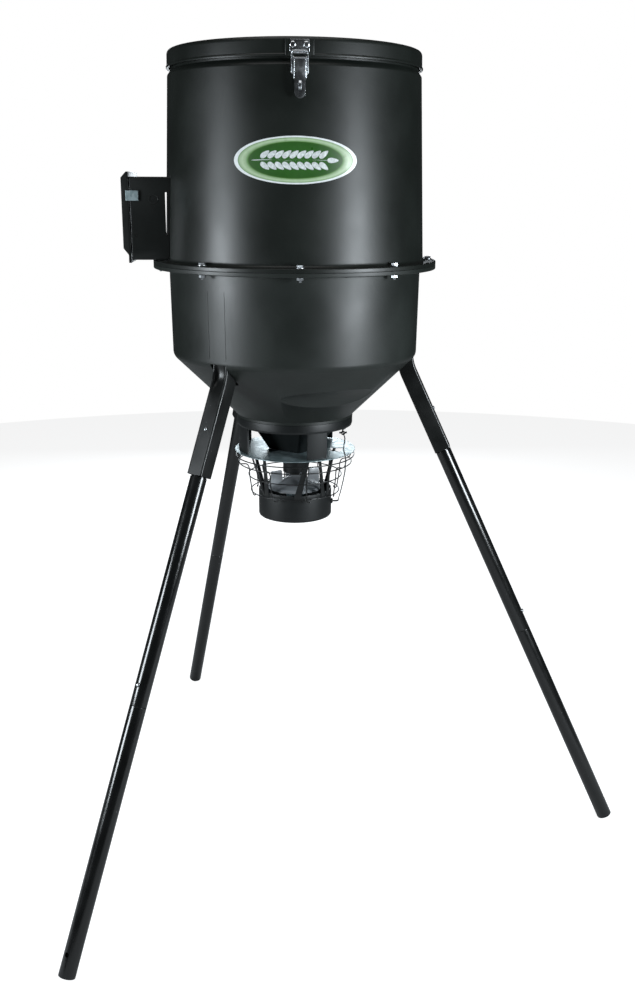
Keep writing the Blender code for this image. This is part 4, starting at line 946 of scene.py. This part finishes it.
# ---------------------------------------------------------------- draw latches
def make_latch(side, azimuth):
    """Draw latch: keeper on the lid; base, lever and bail on the barrel."""
    def latch_piece(part, mesh, body):
        node_name = f"{side}_latch_{part}"
        piece(node_name + "_plated", mesh, CHROME, body, node_name, azimuth=azimuth, sharp=30)

    plate = soft_box((-0.0165, -0.2456, 1.5880), (0.0165, -0.2444, 1.6075), 0.0004)
    hook = [(0.2444, 1.5890), (0.2444, 1.5845), (0.2472, 1.5845, 0.0008)]
    hook += [(0.2472, 1.5862), (0.2456, 1.5862, 0.0006), (0.2456, 1.5890)]
    head = [(0, 0), (0.0052, 0), (0.0050, 0.0007), (0.0040, 0.0014), (0.0022, 0.0018), (0, 0.0019)]
    screws = [moved(revolve(head, 32), facing(x, -0.2454, 1.5995)) for x in (-0.0115, 0.0115)]
    keeper = merged(plate, worked(prism(rounded(hook), -0.0110, 0.0110), bevel=0.0003))
    latch_piece("keeper", keeper, "lid")
    heads = merged(*screws)
    piece(f"{side}_latch_screws", heads, CHROME, "lid", azimuth=azimuth)

    foot = soft_box((-0.0085, -0.2448, 1.5225), (0.0085, -0.2436, 1.5730), 0.0004)
    ear = [(0.2441, 1.5640), (0.2520, 1.5680, 0.002), (0.2530, 1.5760, 0.003)]
    ear += [(0.2500, 1.5792, 0.003), (0.2470, 1.5780, 0.002), (0.2441, 1.5725)]
    ears = [worked(prism(rounded(ear), x, x + 0.0012), bevel=0.0002) for x in (-0.0088, 0.0076)]
    pin = crossways(LATCH_PIVOT, 0.0122, 0.0015)
    loop = [(0.2441, 1.5414)]
    for step in range(17):
        angle = math.radians(60 - 120 * step / 16)
        loop.append((0.2575 + 0.0085 * math.cos(angle), 1.5340 + 0.0085 * math.sin(angle)))
    loop.append((0.2441, 1.5266))
    padlock_hole = crossways((0.26, 1.534), 0.01, 0.0035)
    staple = worked(prism(loop, -0.0021, 0.0021), [padlock_hole], bevel=0.0004)
    latch_piece("base", merged(foot, *ears, pin, staple), "feeder")

    latch_piece("lever", lever_mesh(), f"{side}_lever")
    latch_piece("bail", bail_mesh(), f"{side}_bail")


def lever_mesh():
    """Folded lever: a slotted web with a rounded tab, and two cheeks with rolled edges."""
    half, narrow, shoulder_z, tab_z = 0.0110, 0.0090, 1.5440, 1.5226
    face = [(-half, 1.5762, 0.0008), (half, 1.5762, 0.0008), (half, shoulder_z, 0.0015)]
    face += [(narrow, shoulder_z - 0.001, 0.001), (narrow, tab_z)]
    for step in range(1, 16):
        angle = math.pi * step / 16
        face.append((narrow * math.cos(angle), tab_z - narrow * math.sin(angle)))
    face += [(-narrow, tab_z), (-narrow, shoulder_z - 0.001, 0.001), (-half, shoulder_z, 0.0015)]
    upright = Matrix(((1, 0, 0, 0), (0, 0, 1, 0), (0, 1, 0, 0), (0, 0, 0, 1)))
    web = moved(column([tuple(p) for p in rounded(face)], -0.2556, -0.2544), upright)
    slot = [(-0.0027, 1.5215, 0.0026), (0.0027, 1.5215, 0.0026)]
    slot += [(0.0027, 1.5470, 0.0026), (-0.0027, 1.5470, 0.0026)]
    web = worked(web, [moved(column(rounded(slot), -0.27, -0.25), upright)], bevel=0.0003)
    cheek = [(0.2497, 1.5812, 0.003), (0.2553, 1.5795, 0.002), (0.2553, 1.5448, 0.001)]
    cheek += [(0.2490, 1.5448, 0.003), (0.2447, 1.5475, 0.002)]
    cheek += [(0.2447, 1.5750, 0.003), (0.2455, 1.5790, 0.003)]
    hole = crossways(LATCH_PIVOT, 0.02, 0.0019)
    eye = crossways(BAIL_PIVOT, 0.02, 0.0016)
    cheeks = [
        worked(prism(rounded(cheek), x, x + 0.0012), [hole.copy(), eye.copy()], bevel=0.0002)
        for x in (-0.0116, 0.0104)
    ]
    bar = sweep([(-0.0110, -0.2553, 1.5772), (0.0110, -0.2553, 1.5772)], 0.0012, 12)
    rims = [
        sweep([(x, -0.2556, height) for height in (1.5745, 1.5600, 1.5452)], 0.0006, 8)
        for x in (-0.0098, 0.0098)
    ]
    return merged(web, *cheeks, bar, *rims)


def bail_mesh():
    """Closed loop of wire that pulls the keeper down."""
    rise, lean = BAIL_TOP[1] - BAIL_PIVOT[1], BAIL_PIVOT[0] - BAIL_TOP[0]
    side = rounded(
        [(BAIL_HALF - 0.0050, 0), (BAIL_HALF, 0, 0.0014), (BAIL_HALF, rise, 0.0042), (0, rise)], 6
    )[:-1]
    route = [Vector((x, -BAIL_PIVOT[0] + lean * up / rise, BAIL_PIVOT[1] + up)) for x, up in side]
    route += [Vector((-point.x, point.y, point.z)) for point in reversed(route)]
    return sweep(route, BAIL_WIRE, 14)


# ---------------------------------------------------------------- control box
def on_box(name, mesh, finish, body, node):
    """A piece of the control box, which stands at the barrel's left side."""
    piece(name, mesh, finish, body, node, azimuth=-90)


def make_control_box():
    """Housing with cheeks that reach the barrel, a slot behind it and an open front."""
    inner = BOX_HALF - BOX_WALL
    housing = soft_box((-BOX_HALF, -BOX_FRONT, BOX_SKIRT), (BOX_HALF, -0.2300, BOX_TOP), 0.0022)
    room_low = (-inner, -BOX_FRONT - 0.02, BOX_FLOOR + BOX_WALL)
    room = soft_box(room_low, (inner, -BOX_BACK, BOX_TOP - BOX_WALL), 0.002)
    behind = box((-inner, -BOX_BACK + BOX_WALL, BOX_SKIRT - 0.01), (inner, -0.20, BOX_TOP + 0.01))
    skirt = box((-inner, -BOX_FRONT - 0.01, BOX_SKIRT - 0.01), (inner, -0.20, BOX_FLOOR))
    wall = revolve(
        [
            *((0, 1.42), (barrel_radius(1.42) + 0.0006, 1.42), (barrel_radius(1.242) + 0.0006, 1.242)),
            *((barrel_radius(1.242) + 0.0060, 1.229), (0, 1.229)),
        ],
        ROUND,
    )
    low, high, end = 1.279, 1.359, 0.0017
    slot = [(0.2437, low, end), (0.2473, low, end), (0.2473, high, end), (0.2437, high, end)]
    front_slot = prism(rounded(slot), BOX_HALF - 0.01, BOX_HALF + 0.01)
    rear_slot = box((-BOX_HALF - 0.01, -0.2690, low), (-BOX_HALF + 0.01, -0.2455, high))
    seams = [
        box((x - 0.0005, -BOX_FRONT + 0.004, 1.2532), (x + 0.0005, -0.2580, 1.2538))
        for x in (BOX_HALF, -BOX_HALF)
    ]
    inlet, outlet = (around(LEAD_AZIMUTH + 90, radius, LEAD_PASSAGE_Z) for radius in (0.26, 0.29))
    passage = rod(inlet, outlet, LEAD_PASSAGE_RADIUS)
    circle = [
        (BOX_HALF, -0.2688 + 0.008 * math.cos(step / 5), 1.3465 + 0.008 * math.sin(step / 5))
        for step in range(31)
    ]
    mark = sweep(circle, 0.0006, 8, cyclic=True)
    rail = soft_box((BOX_HALF - 0.001, -0.3130, 1.2765), (BOX_HALF + 0.0005, -0.3030, 1.2838), 0.0005)
    shaped = worked(housing, [room, behind, skirt, wall, front_slot, rear_slot, *seams, passage])
    on_box("control_box_moulding", merged(shaped, mark, rail), BOX_PLASTIC, "feeder", "control_box")


def make_door():
    """Door with a hollow back, a sunk front panel and two raised lines."""
    low, high = centred_box("control_door")
    left, right = -high.y, -low.y
    face = BOX_FRONT + 0.0006
    flap = face + 0.0049
    outline = [
        *((face, DOOR_TOP, 0.001), (face + 0.0044, DOOR_TOP, 0.002), (DOOR_FRONT, DOOR_TOP - 0.011, 0.003)),
        *((DOOR_FRONT, DOOR_BOTTOM + 0.012, 0.003), (flap, DOOR_BOTTOM, 0.001), (flap, DOOR_SKIRT, 0.001)),
        (face, DOOR_SKIRT, 0.0006),
    ]
    door = worked(prism(rounded(outline), left, right), bevel=0.0012, segments=3)
    recess_low = (left + 0.005, -DOOR_FRONT + 0.0035, DOOR_BOTTOM + 0.016)
    recess = soft_box(recess_low, (right - 0.005, -0.30, DOOR_TOP - 0.015), 0.002)
    lines = [
        soft_box(
            (left + 0.020, -DOOR_FRONT - 0.0002, height),
            (right - 0.020, -DOOR_FRONT + 0.0010, height + 0.0022),
            0.0005,
        )
        for height in (DOOR_BOTTOM + 0.024, DOOR_TOP - 0.024)
    ]
    edge, margin = 0.0145, 0.0186
    panel = soft_box(
        (left + edge, -DOOR_FRONT - 0.02, DOOR_BOTTOM + margin),
        (right - edge, -DOOR_FRONT + 0.0008, DOOR_TOP - margin),
        0.0006,
    )
    mesh = merged(worked(door, [recess, panel]), *lines)
    on_box("control_door_moulding", mesh, BOX_PLASTIC, "control_door", "control_door")


def make_door_clip():
    """A sheet spring that wraps the door's edge."""
    low, high = centred_box("door_clip")
    inner, outer, left, right = -high.x, -low.x, -high.y, -low.y
    strap = [(inner, right - 0.0005), (inner + 0.0014, right, 0.0006), (outer - 0.001, right, 0.0008)]
    strap += [(outer, left, 0.0005), (inner, left, 0.0005)]
    outline = [(across, -reach) for reach, across in rounded(strap)]
    clip = worked(column(outline, low.z, high.z), bevel=0.0003)
    on_box("door_clip_spring", clip, GALVANISED, "door_clip", "door_clip")


def make_battery():
    """A sealed battery with moulded ribs and two terminals."""
    back = -BOX_BACK - GAP - 0.001
    case = soft_box((-0.060, -0.3090, BOX_FLOOR + BOX_WALL + GAP), (0.010, back, 1.3560), 0.002)
    ribs = [
        soft_box((-0.0603, -0.3093, height), (0.0103, back, height + 0.002), 0.0005)
        for height in (1.262, 1.335, 1.348)
    ]
    post = [(0, 1.355), (0.0042, 1.355), (0.0042, 1.359), (0.0030, 1.360), (0.0030, 1.3635), (0, 1.364)]
    posts = [moved(revolve(post, 24), shift(x, -0.290, 0)) for x in (-0.045, -0.010)]
    on_box("battery_cell", merged(case, *ribs, *posts), CELL_CASE, "feeder", "battery")


def make_timer():
    """The timer with its dial and window, and its test button."""
    middle, button_z, dial_z = 0.0440, 1.2960, 1.3260
    timer = soft_box((0.0180, -0.3030, 1.2760), (0.0700, -BOX_BACK - GAP, 1.3680), 0.0025)
    window = soft_box((0.0260, -0.3100, 1.3480), (0.0620, -0.3018, 1.3610), 0.001)
    hole = rod((middle, -0.31, button_z), (middle, -0.291, button_z), 0.0052)
    dial = [(0.0, 0.0), (0.0130, 0.0), (0.0130, 0.0022, 0.0008), (0.0100, 0.0022)]
    dial += [(0.0092, 0.0012), (0, 0.0012)]
    dial = moved(revolve(rounded(dial), 48), facing(middle, -0.3028, dial_z))
    mesh = merged(worked(timer, [window, hole]), dial)
    on_box("timer_module_case", mesh, BOARD_CASE, "feeder", "timer_module")
    cap = [(0, -0.0060), (0.0047, -0.0060), (0.0047, 0.0035, 0.0008), (0.0030, 0.0035, 0.0004)]
    cap += [(0.0024, 0.0030), (0, 0.0030)]
    button = moved(revolve(rounded(cap), 32), facing(middle, -0.3030, button_z))
    on_box("test_button_cap", button, BUTTON_RED, "test_button", "test_button")


# ---------------------------------------------------------------- feeder kit
def make_collar():
    """Collar under the neck, with three windows between its struts."""
    top = NECK_BOTTOM - GAP
    bore = COLLAR_RADIUS - 0.0045
    profile = [
        *((0.088, top), (COLLAR_RADIUS, top, 0.0010), (COLLAR_RADIUS, COLLAR_LIP + 0.004, 0.002)),
        *((COLLAR_RADIUS - 0.0012, COLLAR_LIP, 0.0008), (COLLAR_RADIUS - 0.0015, COLLAR_BOTTOM, 0.0004)),
        *((bore, COLLAR_BOTTOM, 0.0004), (bore, top - 0.003, 0.002), (0.088, top - 0.003)),
    ]
    collar = revolve(rounded(profile), ROUND)
    windows = []
    for start, end in ((-57, 10), (31, 134), (158, 233)):
        azimuths = [start + (end - start) * share / 8 for share in range(9)]
        wedge = [(0.0, 0.0)] + [tuple(around(azimuth, 0.16, 0).xy) for azimuth in azimuths]
        windows.append(column(wedge, COLLAR_BOTTOM - 0.01, COLLAR_LIP))
    above, below = (around(-130, 0.100, height) for height in (top + 0.01, top - 0.01))
    hole = rod(above, below, LEAD_PASSAGE_RADIUS)
    mesh = worked(collar, [merged(*windows), hole], bevel=0.0006, angle=50)
    piece("funnel_collar_moulding", mesh, KIT_PLASTIC, "feeder", "funnel_collar")


def funnel_shell(grow, top, bottom):
    """A four-sided funnel with softened corners; grow offsets it outwards."""
    verts, faces = [], []
    levels, corner_bottom, corner_top = 12, 0.0574, 0.1020
    for level in range(levels + 1):
        share = level / levels
        height = bottom + (top - bottom) * share
        corner = corner_bottom + (corner_top - corner_bottom) * share + grow
        square = rounded([(*around(90 * side, corner, 0).xy, 0.006) for side in range(4)], 5)
        verts += [(x, y, height) for x, y in square]
    count = len(verts) // (levels + 1)
    for level in range(levels):
        for side in range(count):
            after = (side + 1) % count
            first, other = level * count, (level + 1) * count
            faces.append([first + side, first + after, other + after, other + side])
    faces += [list(range(count)), list(range(levels * count, (levels + 1) * count))]
    return mesh_from(verts, faces)


def make_funnel():
    """Square funnel from the collar down to the plate."""
    top = NECK_BOTTOM - 0.003 - 2 * GAP
    bottom = PLATE_TOP + GAP
    outside = funnel_shell(-0.0002, top, bottom)
    inside = funnel_shell(-0.0032, top, bottom)
    middle = (top + bottom) / 2
    moved(inside, shift(0, 0, middle) @ Matrix.Diagonal((1, 1, 1.02, 1)) @ shift(0, 0, -middle))
    funnel = moved(worked(outside, [inside]), turn_z(5))
    piece("feed_funnel_moulding", funnel, KIT_PLASTIC, "feeder", "feed_funnel")


def make_plate_and_spout():
    """Galvanised plate with its slot, and the spout under its middle."""
    profile = [(SPOUT_BORE, PLATE_TOP, 0.0003), (PLATE_RADIUS, PLATE_TOP, 0.0006)]
    profile += [(PLATE_RADIUS, PLATE_BOTTOM, 0.0006), (SPOUT_BORE, PLATE_BOTTOM, 0.0003)]
    slot = [tuple(around(azimuth, 0.1000, 0).xy) for azimuth in range(65, 88, 2)]
    slot += [tuple(around(azimuth, 0.0745, 0).xy) for azimuth in range(87, 64, -2)]
    plate = worked(revolve(rounded(profile), ROUND), [column(slot, PLATE_BOTTOM - 0.01, PLATE_TOP + 0.01)])
    piece("feed_plate_sheet", plate, GALVANISED, "feeder", "feed_plate")
    top = PLATE_BOTTOM - GAP
    spout = [
        *((SPOUT_BORE, top, 0.0004), (0.0330, top, 0.0006), (0.0330, top - 0.0030, 0.0010)),
        *((SPOUT_RADIUS, top - 0.0030, 0.0015), (SPOUT_RADIUS, SPOUT_BOTTOM, 0.0008)),
        (SPOUT_BORE, SPOUT_BOTTOM, 0.0006),
    ]
    piece("feed_spout_moulding", revolve(rounded(spout), 72), KIT_PLASTIC, "feeder", "feed_spout")


# strut: azimuth where it meets the plate, azimuth at the cup, half widths at top and bottom
STRUTS = (
    (-59, -59, 0.0018, 0.0035),
    (-38, -52, 0.0036, 0.0070),
    (12, 1, 0.0042, 0.0075),
    (26, 48, 0.0030, 0.0062),
    (40, 60, 0.0026, 0.0058),
    (122, 118, 0.0036, 0.0070),
    (170, 176, 0.0036, 0.0070),
    (190, 184, 0.0036, 0.0070),
    (238, 242, 0.0036, 0.0070),
)


def strut_mesh(top, foot, half_top, half_foot, azimuth):
    """A flat tapered strut with soft edges."""
    across = turn_z(azimuth) @ Vector((1, 0, 0))
    out = turn_z(azimuth) @ Vector((0, -1, 0))
    verts = []
    for centre, half in ((foot, half_foot), (top, half_top)):
        for side, depth in ((-1, -1), (1, -1), (1, 1), (-1, 1)):
            verts.append(centre + across * (side * half) + out * (depth * 0.0013))
    sides = [[side, (side + 1) % 4, 4 + (side + 1) % 4, 4 + side] for side in range(4)]
    flat = mesh_from(verts, sides + [[0, 1, 2, 3], [4, 5, 6, 7]])
    return worked(flat, bevel=0.0005)


def make_cup():
    """Motor cup hanging by its struts from a ring under the plate."""
    inner = CUP_RADIUS - CUP_WALL
    profile = [
        *((0, CUP_BOTTOM + CUP_WALL), (inner, CUP_BOTTOM + CUP_WALL, 0.003), (inner, CUP_TOP, 0.0012)),
        *((CUP_RADIUS, CUP_TOP, 0.0012), (CUP_RADIUS, CUP_BOTTOM, 0.0055), (0.060, CUP_BOTTOM, 0.001)),
        *((0.0595, CUP_BOTTOM + 0.0008), (0, CUP_BOTTOM + 0.0008)),
    ]
    hole = rod(around(GROMMET_AZIMUTH, 0.06, GROMMET_Z), around(GROMMET_AZIMUTH, 0.09, GROMMET_Z), 0.0044)
    cup = worked(revolve(rounded(profile, 5), ROUND), [hole])
    ring_top = PLATE_BOTTOM - GAP
    ring = [(0.1005, ring_top, 0.0005), (0.1130, ring_top, 0.0005), (0.1130, ring_top - 0.0025, 0.0008)]
    parts = [cup, revolve(rounded(ring + [(0.1005, ring_top - 0.0025, 0.0008)]), 96)]
    for top_azimuth, foot_azimuth, half_top, half_foot in STRUTS:
        top = around(top_azimuth, 0.1060, ring_top - 0.0010)
        foot = around(foot_azimuth, 0.0755, CUP_TOP - 0.0080)
        parts.append(strut_mesh(top, foot, half_top, half_foot, foot_azimuth))
    piece("motor_cup_moulding", merged(*parts), KIT_PLASTIC, "feeder", "motor_cup")


def make_motor():
    """Motor can in the cup, and the shaft that carries the spinner."""
    low = CUP_BOTTOM + CUP_WALL + GAP
    can = [(0, low), (0.0185, low, 0.002), (0.0185, low + 0.030, 0.0008), (0.0175, low + 0.031)]
    can += [(0.0175, low + 0.034), (0.0185, low + 0.035), (0.0185, low + 0.0430, 0.0015)]
    can += [(0.006, low + 0.0430), (0.006, low + 0.0428), (0.0022, low + 0.0428)]
    can += [(0.0022, low + 0.030), (0, low + 0.030)]
    piece("motor_can", revolve(rounded(can), 64), GALVANISED, "feeder", "motor")
    tip, seat = 0.7860, low + 0.0305
    shaft = [(0, tip), (0.0017, tip, 0.0004), (0.0017, seat, 0.0004), (0, seat)]
    piece("spinner_shaft_turned", revolve(rounded(shaft), 24), ZINC, "spinner", "spinner_shaft")


def make_spinner():
    """Dished spinner plate with four fins."""
    profile = [
        *((0, 0.7885), (0.0075, 0.7885, 0.0010), (0.0110, 0.7850, 0.002), (0.0300, 0.7740, 0.006)),
        *((SPINNER_RADIUS - 0.004, 0.7650, 0.003), (SPINNER_RADIUS, 0.7600, 0.0006)),
        *((SPINNER_RADIUS - 0.0020, 0.7595, 0.0006), (SPINNER_RADIUS - 0.0055, 0.7628, 0.003)),
        *((0.0290, 0.7718, 0.006), (0.0075, 0.7790), (0.0075, 0.7700), (0, 0.7700)),
    ]
    fin = [(0.0285, 0.7730), (0.0555, 0.7622), (0.0545, 0.7985, 0.003), (0.0300, 0.7995, 0.003)]
    fins = []
    for azimuth in (-70, 20, 110, 200):
        blade = worked(prism(rounded(fin), -0.0007, 0.0007), bevel=0.0003)
        fins.append(moved(blade, turn_z(azimuth)))
    bore = rod((0, 0, 0.760), (0, 0, 0.7865), 0.0021)
    spinner = worked(revolve(rounded(profile), 96), [bore], fins)
    piece("spinner_moulding", spinner, SMOKED, "spinner", "spinner")


def make_cage():
    """Four hoops of wire and eight uprights with curled feet."""
    wires = []
    for radius, height in CAGE_HOOPS:
        ring = [around(4 * step, radius, height) for step in range(90)]
        wires.append(sweep(ring, CAGE_WIRE, 10, cyclic=True))
    for index in range(8):
        azimuth = -79 + 45 * index
        route = [around(azimuth + turn, radius, height) for turn, radius, height in CAGE_UPRIGHT]
        wires.append(sweep(smooth_route(route, 0.003), CAGE_WIRE, 10))
    piece("varmint_cage_wires", merged(*wires), BLACK_WIRE, "feeder", "varmint_cage", sharp=60)


# ---------------------------------------------------------------- lead
# azimuth, distance from the barrel's axis and height of points along the lead
LEAD_ROUTE = (
    *((-87, 0.2800, 1.2620), (-87, 0.2650, 1.2620), (-87, 0.2480, 1.2620), (-87, 0.2410, 1.2560)),
    *((-87, 0.2385, 1.2400), (-87, 0.2380, 1.2200), (-87, 0.2380, 1.1500), (-87, 0.2370, 1.0800)),
    *((-88, 0.2275, 1.0400), (-90, 0.2090, 1.0219), (-95, 0.1495, 0.9640), (-101, 0.1225, 0.9380)),
    *((-112, 0.1090, 0.9295), (-124, 0.1025, 0.9260), (-130, 0.1000, 0.9190), (-130, 0.1000, 0.9080)),
    *((-135, 0.1015, 0.9000), (-142, 0.1040, 0.8960), (-158, 0.1060, 0.8920), (-180, 0.1060, 0.8910)),
    *((-206, 0.1060, 0.8910), (-234, 0.1060, 0.8910), (-262, 0.1060, 0.8920), (-284, 0.1070, 0.8930)),
    *((-296, 0.1080, 0.8935), (-301, 0.1105, 0.8930), (-304, 0.1150, 0.8915), (-307, 0.1205, 0.8885)),
    *((-309, 0.1262, 0.8830), (-310, 0.1268, 0.8740), (-311, 0.1265, 0.8640), (-311, 0.1275, 0.8560)),
    *((-309.5, 0.1288, 0.8450), (-309, 0.1288, 0.8370), (-309, 0.1282, 0.8280), (-308.5, 0.1272, 0.8170)),
    *((-306, 0.1200, 0.7950), (-303, 0.1120, 0.7740), (-300, 0.1060, 0.7600), (-296, 0.1000, 0.7480)),
    *((-287, 0.0940, 0.7370), (-280, 0.0880, 0.7322), (-278, 0.0810, 0.7310), (-278, 0.0700, 0.7310)),
    *((-278, 0.0500, 0.7330), (-278, 0.0215, 0.7400)),
)
WIRE_RADIUS = 0.0009


def smooth_route(points, spacing):
    """Points about a spacing apart on a Catmull-Rom curve through the route's own points."""
    route = []
    for index in range(len(points) - 1):
        before, start = points[max(index - 1, 0)], points[index]
        end, after = points[index + 1], points[min(index + 2, len(points) - 1)]
        steps = max(2, math.ceil((end - start).length / spacing))
        for step in range(steps):
            t = step / steps
            pull = (end - before) * t
            bend = (2 * before - 5 * start + 4 * end - after) * t * t
            twist = (3 * start - before - 3 * end + after) * t * t * t
            route.append(0.5 * (2 * start + pull + bend + twist))
    return route + [points[-1]]


def make_lead():
    """Twin wires from the timer to the motor, side by side through the barrel and the clip."""
    route = smooth_route([around(*point) for point in LEAD_ROUTE], 0.004)
    for name, finish, side in (("black", BLACK_JACKET, 1), ("grey", GREY_JACKET, -1)):
        line = []
        for index, point in enumerate(route):
            along = route[min(index + 1, len(route) - 1)] - route[max(index - 1, 0)]
            outwards = Vector((point.x, point.y, 0)).normalized()
            across = along.cross(outwards).normalized()
            line.append(point + across * (side * WIRE_RADIUS))
        wire = sweep(line, WIRE_RADIUS * 0.97, 10)
        piece(f"motor_lead_{name}", wire, finish, "feeder", "motor_lead", sharp=60)
    low, high = centred_box("lead_clip")
    middle = (low + high) / 2
    nearest = min(range(len(route) - 1), key=lambda index: (route[index] - middle).length)
    make_clip(middle, (route[nearest + 1] - route[nearest - 1]).normalized())
    make_grommet()


def make_clip(middle, along):
    """A moulded eye with two lugs that snap under the collar's edge."""
    turn = along.to_track_quat("Z", "Y").to_matrix().to_4x4()
    inner, outer, half = 0.0025, 0.0042, 0.0022
    ring = [(inner, -half, 0.0004), (outer, -half, 0.0006), (outer, half, 0.0006), (inner, half, 0.0004)]
    parts = [moved(revolve(rounded(ring), 32), Matrix.Translation(middle) @ turn)]
    side = along.cross(Vector((0, 0, 1))).normalized()
    for sign in (-1, 1):
        root = middle + side * (sign * 0.0034)
        tip = root + side * (sign * 0.0041) + Vector((0, 0, 0.0012))
        parts.append(worked(rod(root, tip, 0.0016, 0.0022, 16), bevel=0.0003))
    piece("lead_clip_eye", merged(*parts), KIT_PLASTIC, "feeder", "lead_clip")


def make_grommet():
    """Rubber grommet with a tapered collar where the lead enters the motor cup."""
    profile = [
        *((0.0026, -0.0060, 0.0004), (0.0038, -0.0060, 0.0006), (0.0038, 0.0004), (0.0058, 0.0004, 0.0006)),
        *((0.0056, 0.0018, 0.0006), (0.0046, 0.0032, 0.0008), (0.0026, 0.0032, 0.0004)),
    ]
    mesh = moved(revolve(rounded(profile), 32), facing(0, -CUP_RADIUS, GROMMET_Z))
    piece("cup_grommet_rubber", mesh, BLACK_JACKET, "feeder", "cup_grommet", azimuth=GROMMET_AZIMUTH)


# ---------------------------------------------------------------- stage
FLOOR_LIFT = 0.86  # glow that only the camera sees, so that the floor is as pale as the photograph's ground


def make_floor():
    """A pale disc under the feeder, wide enough for its shadows."""
    mesh = revolve([(0, -0.02), (4.5, -0.02), (4.5, -0.0002), (0, -0.0002)], 96)
    made, tree, shader, place = material("studio_floor", Roughness=0.9, Specular_IOR_Level=0.1)
    tint = ramp(tree, noise(tree, place, 3.0), (0.3, (0.50, 0.50, 0.50)), (0.7, (0.52, 0.52, 0.52)))
    tree.links.new(tint, shader.inputs["Base Color"])
    seen = node(tree, "ShaderNodeLightPath").outputs["Is Camera Ray"]
    lift = node(tree, "ShaderNodeMath", {0: seen, 1: FLOOR_LIFT}, operation="MULTIPLY").outputs[0]
    tree.links.new(lift, shader.inputs["Emission Strength"])
    shader.inputs["Emission Color"].default_value = (1, 1, 1, 1)
    floor = bpy.data.objects.new("studio_floor", mesh)
    mesh.materials.append(made)
    bpy.context.scene.collection.objects.link(floor)


def make_world():
    """White behind the feeder as the camera sees it, and a dim room as the surfaces see it."""
    world = bpy.data.worlds.new("studio")
    bpy.context.scene.world = world
    world.use_nodes = True
    tree = world.node_tree
    dim = tree.nodes["Background"]
    dim.inputs["Color"].default_value = (0.9, 0.95, 1.0, 1)
    dim.inputs["Strength"].default_value = 0.024
    white = node(tree, "ShaderNodeBackground", {"Color": (1, 1, 1, 1), "Strength": 1.0})
    seen = node(tree, "ShaderNodeLightPath").outputs["Is Camera Ray"]
    both = node(tree, "ShaderNodeMixShader", {0: seen, 1: dim.outputs[0], 2: white.outputs[0]})
    tree.links.new(both.outputs[0], tree.nodes["World Output"].inputs["Surface"])


def add_light(name, azimuth, distance, height, width, tall, power, aim=1.1, color=(1, 1, 1)):
    """An area light at an azimuth from the front, aimed at a height on the barrel's axis."""
    data = bpy.data.lights.new(name, "AREA")
    data.shape = "RECTANGLE"
    data.size = width
    data.size_y = tall
    data.energy = power
    data.color = color
    light = bpy.data.objects.new(name, data)
    light.location = AXIS + around(azimuth, distance, height)
    towards = AXIS + Vector((0, 0, aim)) - light.location
    light.rotation_euler = towards.to_track_quat("-Z", "Y").to_euler()
    bpy.context.scene.collection.objects.link(light)
    return light


def make_camera():
    """The photograph's viewpoint: in front of the barrel, a little left, looking down."""
    yaw, pitch, roll = 0.0219932, 0.28611, 0.0051924
    forward = Vector((math.sin(yaw) * math.cos(pitch), math.cos(yaw) * math.cos(pitch), -math.sin(pitch)))
    right = Vector((math.cos(yaw), -math.sin(yaw), 0))
    up = right.cross(forward)
    level_right = right * math.cos(roll) + up * math.sin(roll)
    level_up = up * math.cos(roll) - right * math.sin(roll)
    axes = Matrix((level_right, level_up, -forward)).transposed().to_4x4()
    data = bpy.data.cameras.new("camera")
    data.sensor_width = 36
    data.lens = 38.17
    data.clip_end = 60
    camera = bpy.data.objects.new("camera", data)
    stand = Matrix.Translation(AXIS + Vector((-0.07567, -2.16683, 1.36794)))
    camera.matrix_world = stand @ turn_z(-2) @ axes
    bpy.context.scene.collection.objects.link(camera)
    bpy.context.scene.camera = camera


def make_studio():
    """Floor, world, lights and camera."""
    bpy.context.scene.view_settings.view_transform = "Standard"
    make_floor()
    make_world()
    cool = (0.88, 0.95, 1.0)
    add_light("right_strip", 50, 2.3, 1.22, 0.72, 0.76, 54, aim=1.2, color=cool)
    add_light("left_strip", -64, 2.3, 1.17, 0.72, 0.84, 41, aim=1.2, color=cool)
    add_light("top_softbox", -10, 0.6, 3.6, 2.4, 2.4, 20, aim=0.0)
    add_light("back_softbox", 180, 3.2, 1.60, 1.4, 1.4, 40, aim=1.0, color=cool)
    make_camera()


make_lid()
make_upper_barrel()
make_lower_hopper()
make_fasteners()
make_label()
for leg in LEG_AZIMUTHS:
    make_leg(leg)
make_latch("front", 0)
make_latch("rear", 180)
make_control_box()
make_door()
make_door_clip()
make_battery()
make_timer()
make_collar()
make_funnel()
make_plate_and_spout()
make_cup()
make_motor()
make_spinner()
make_cage()
make_lead()
make_studio()
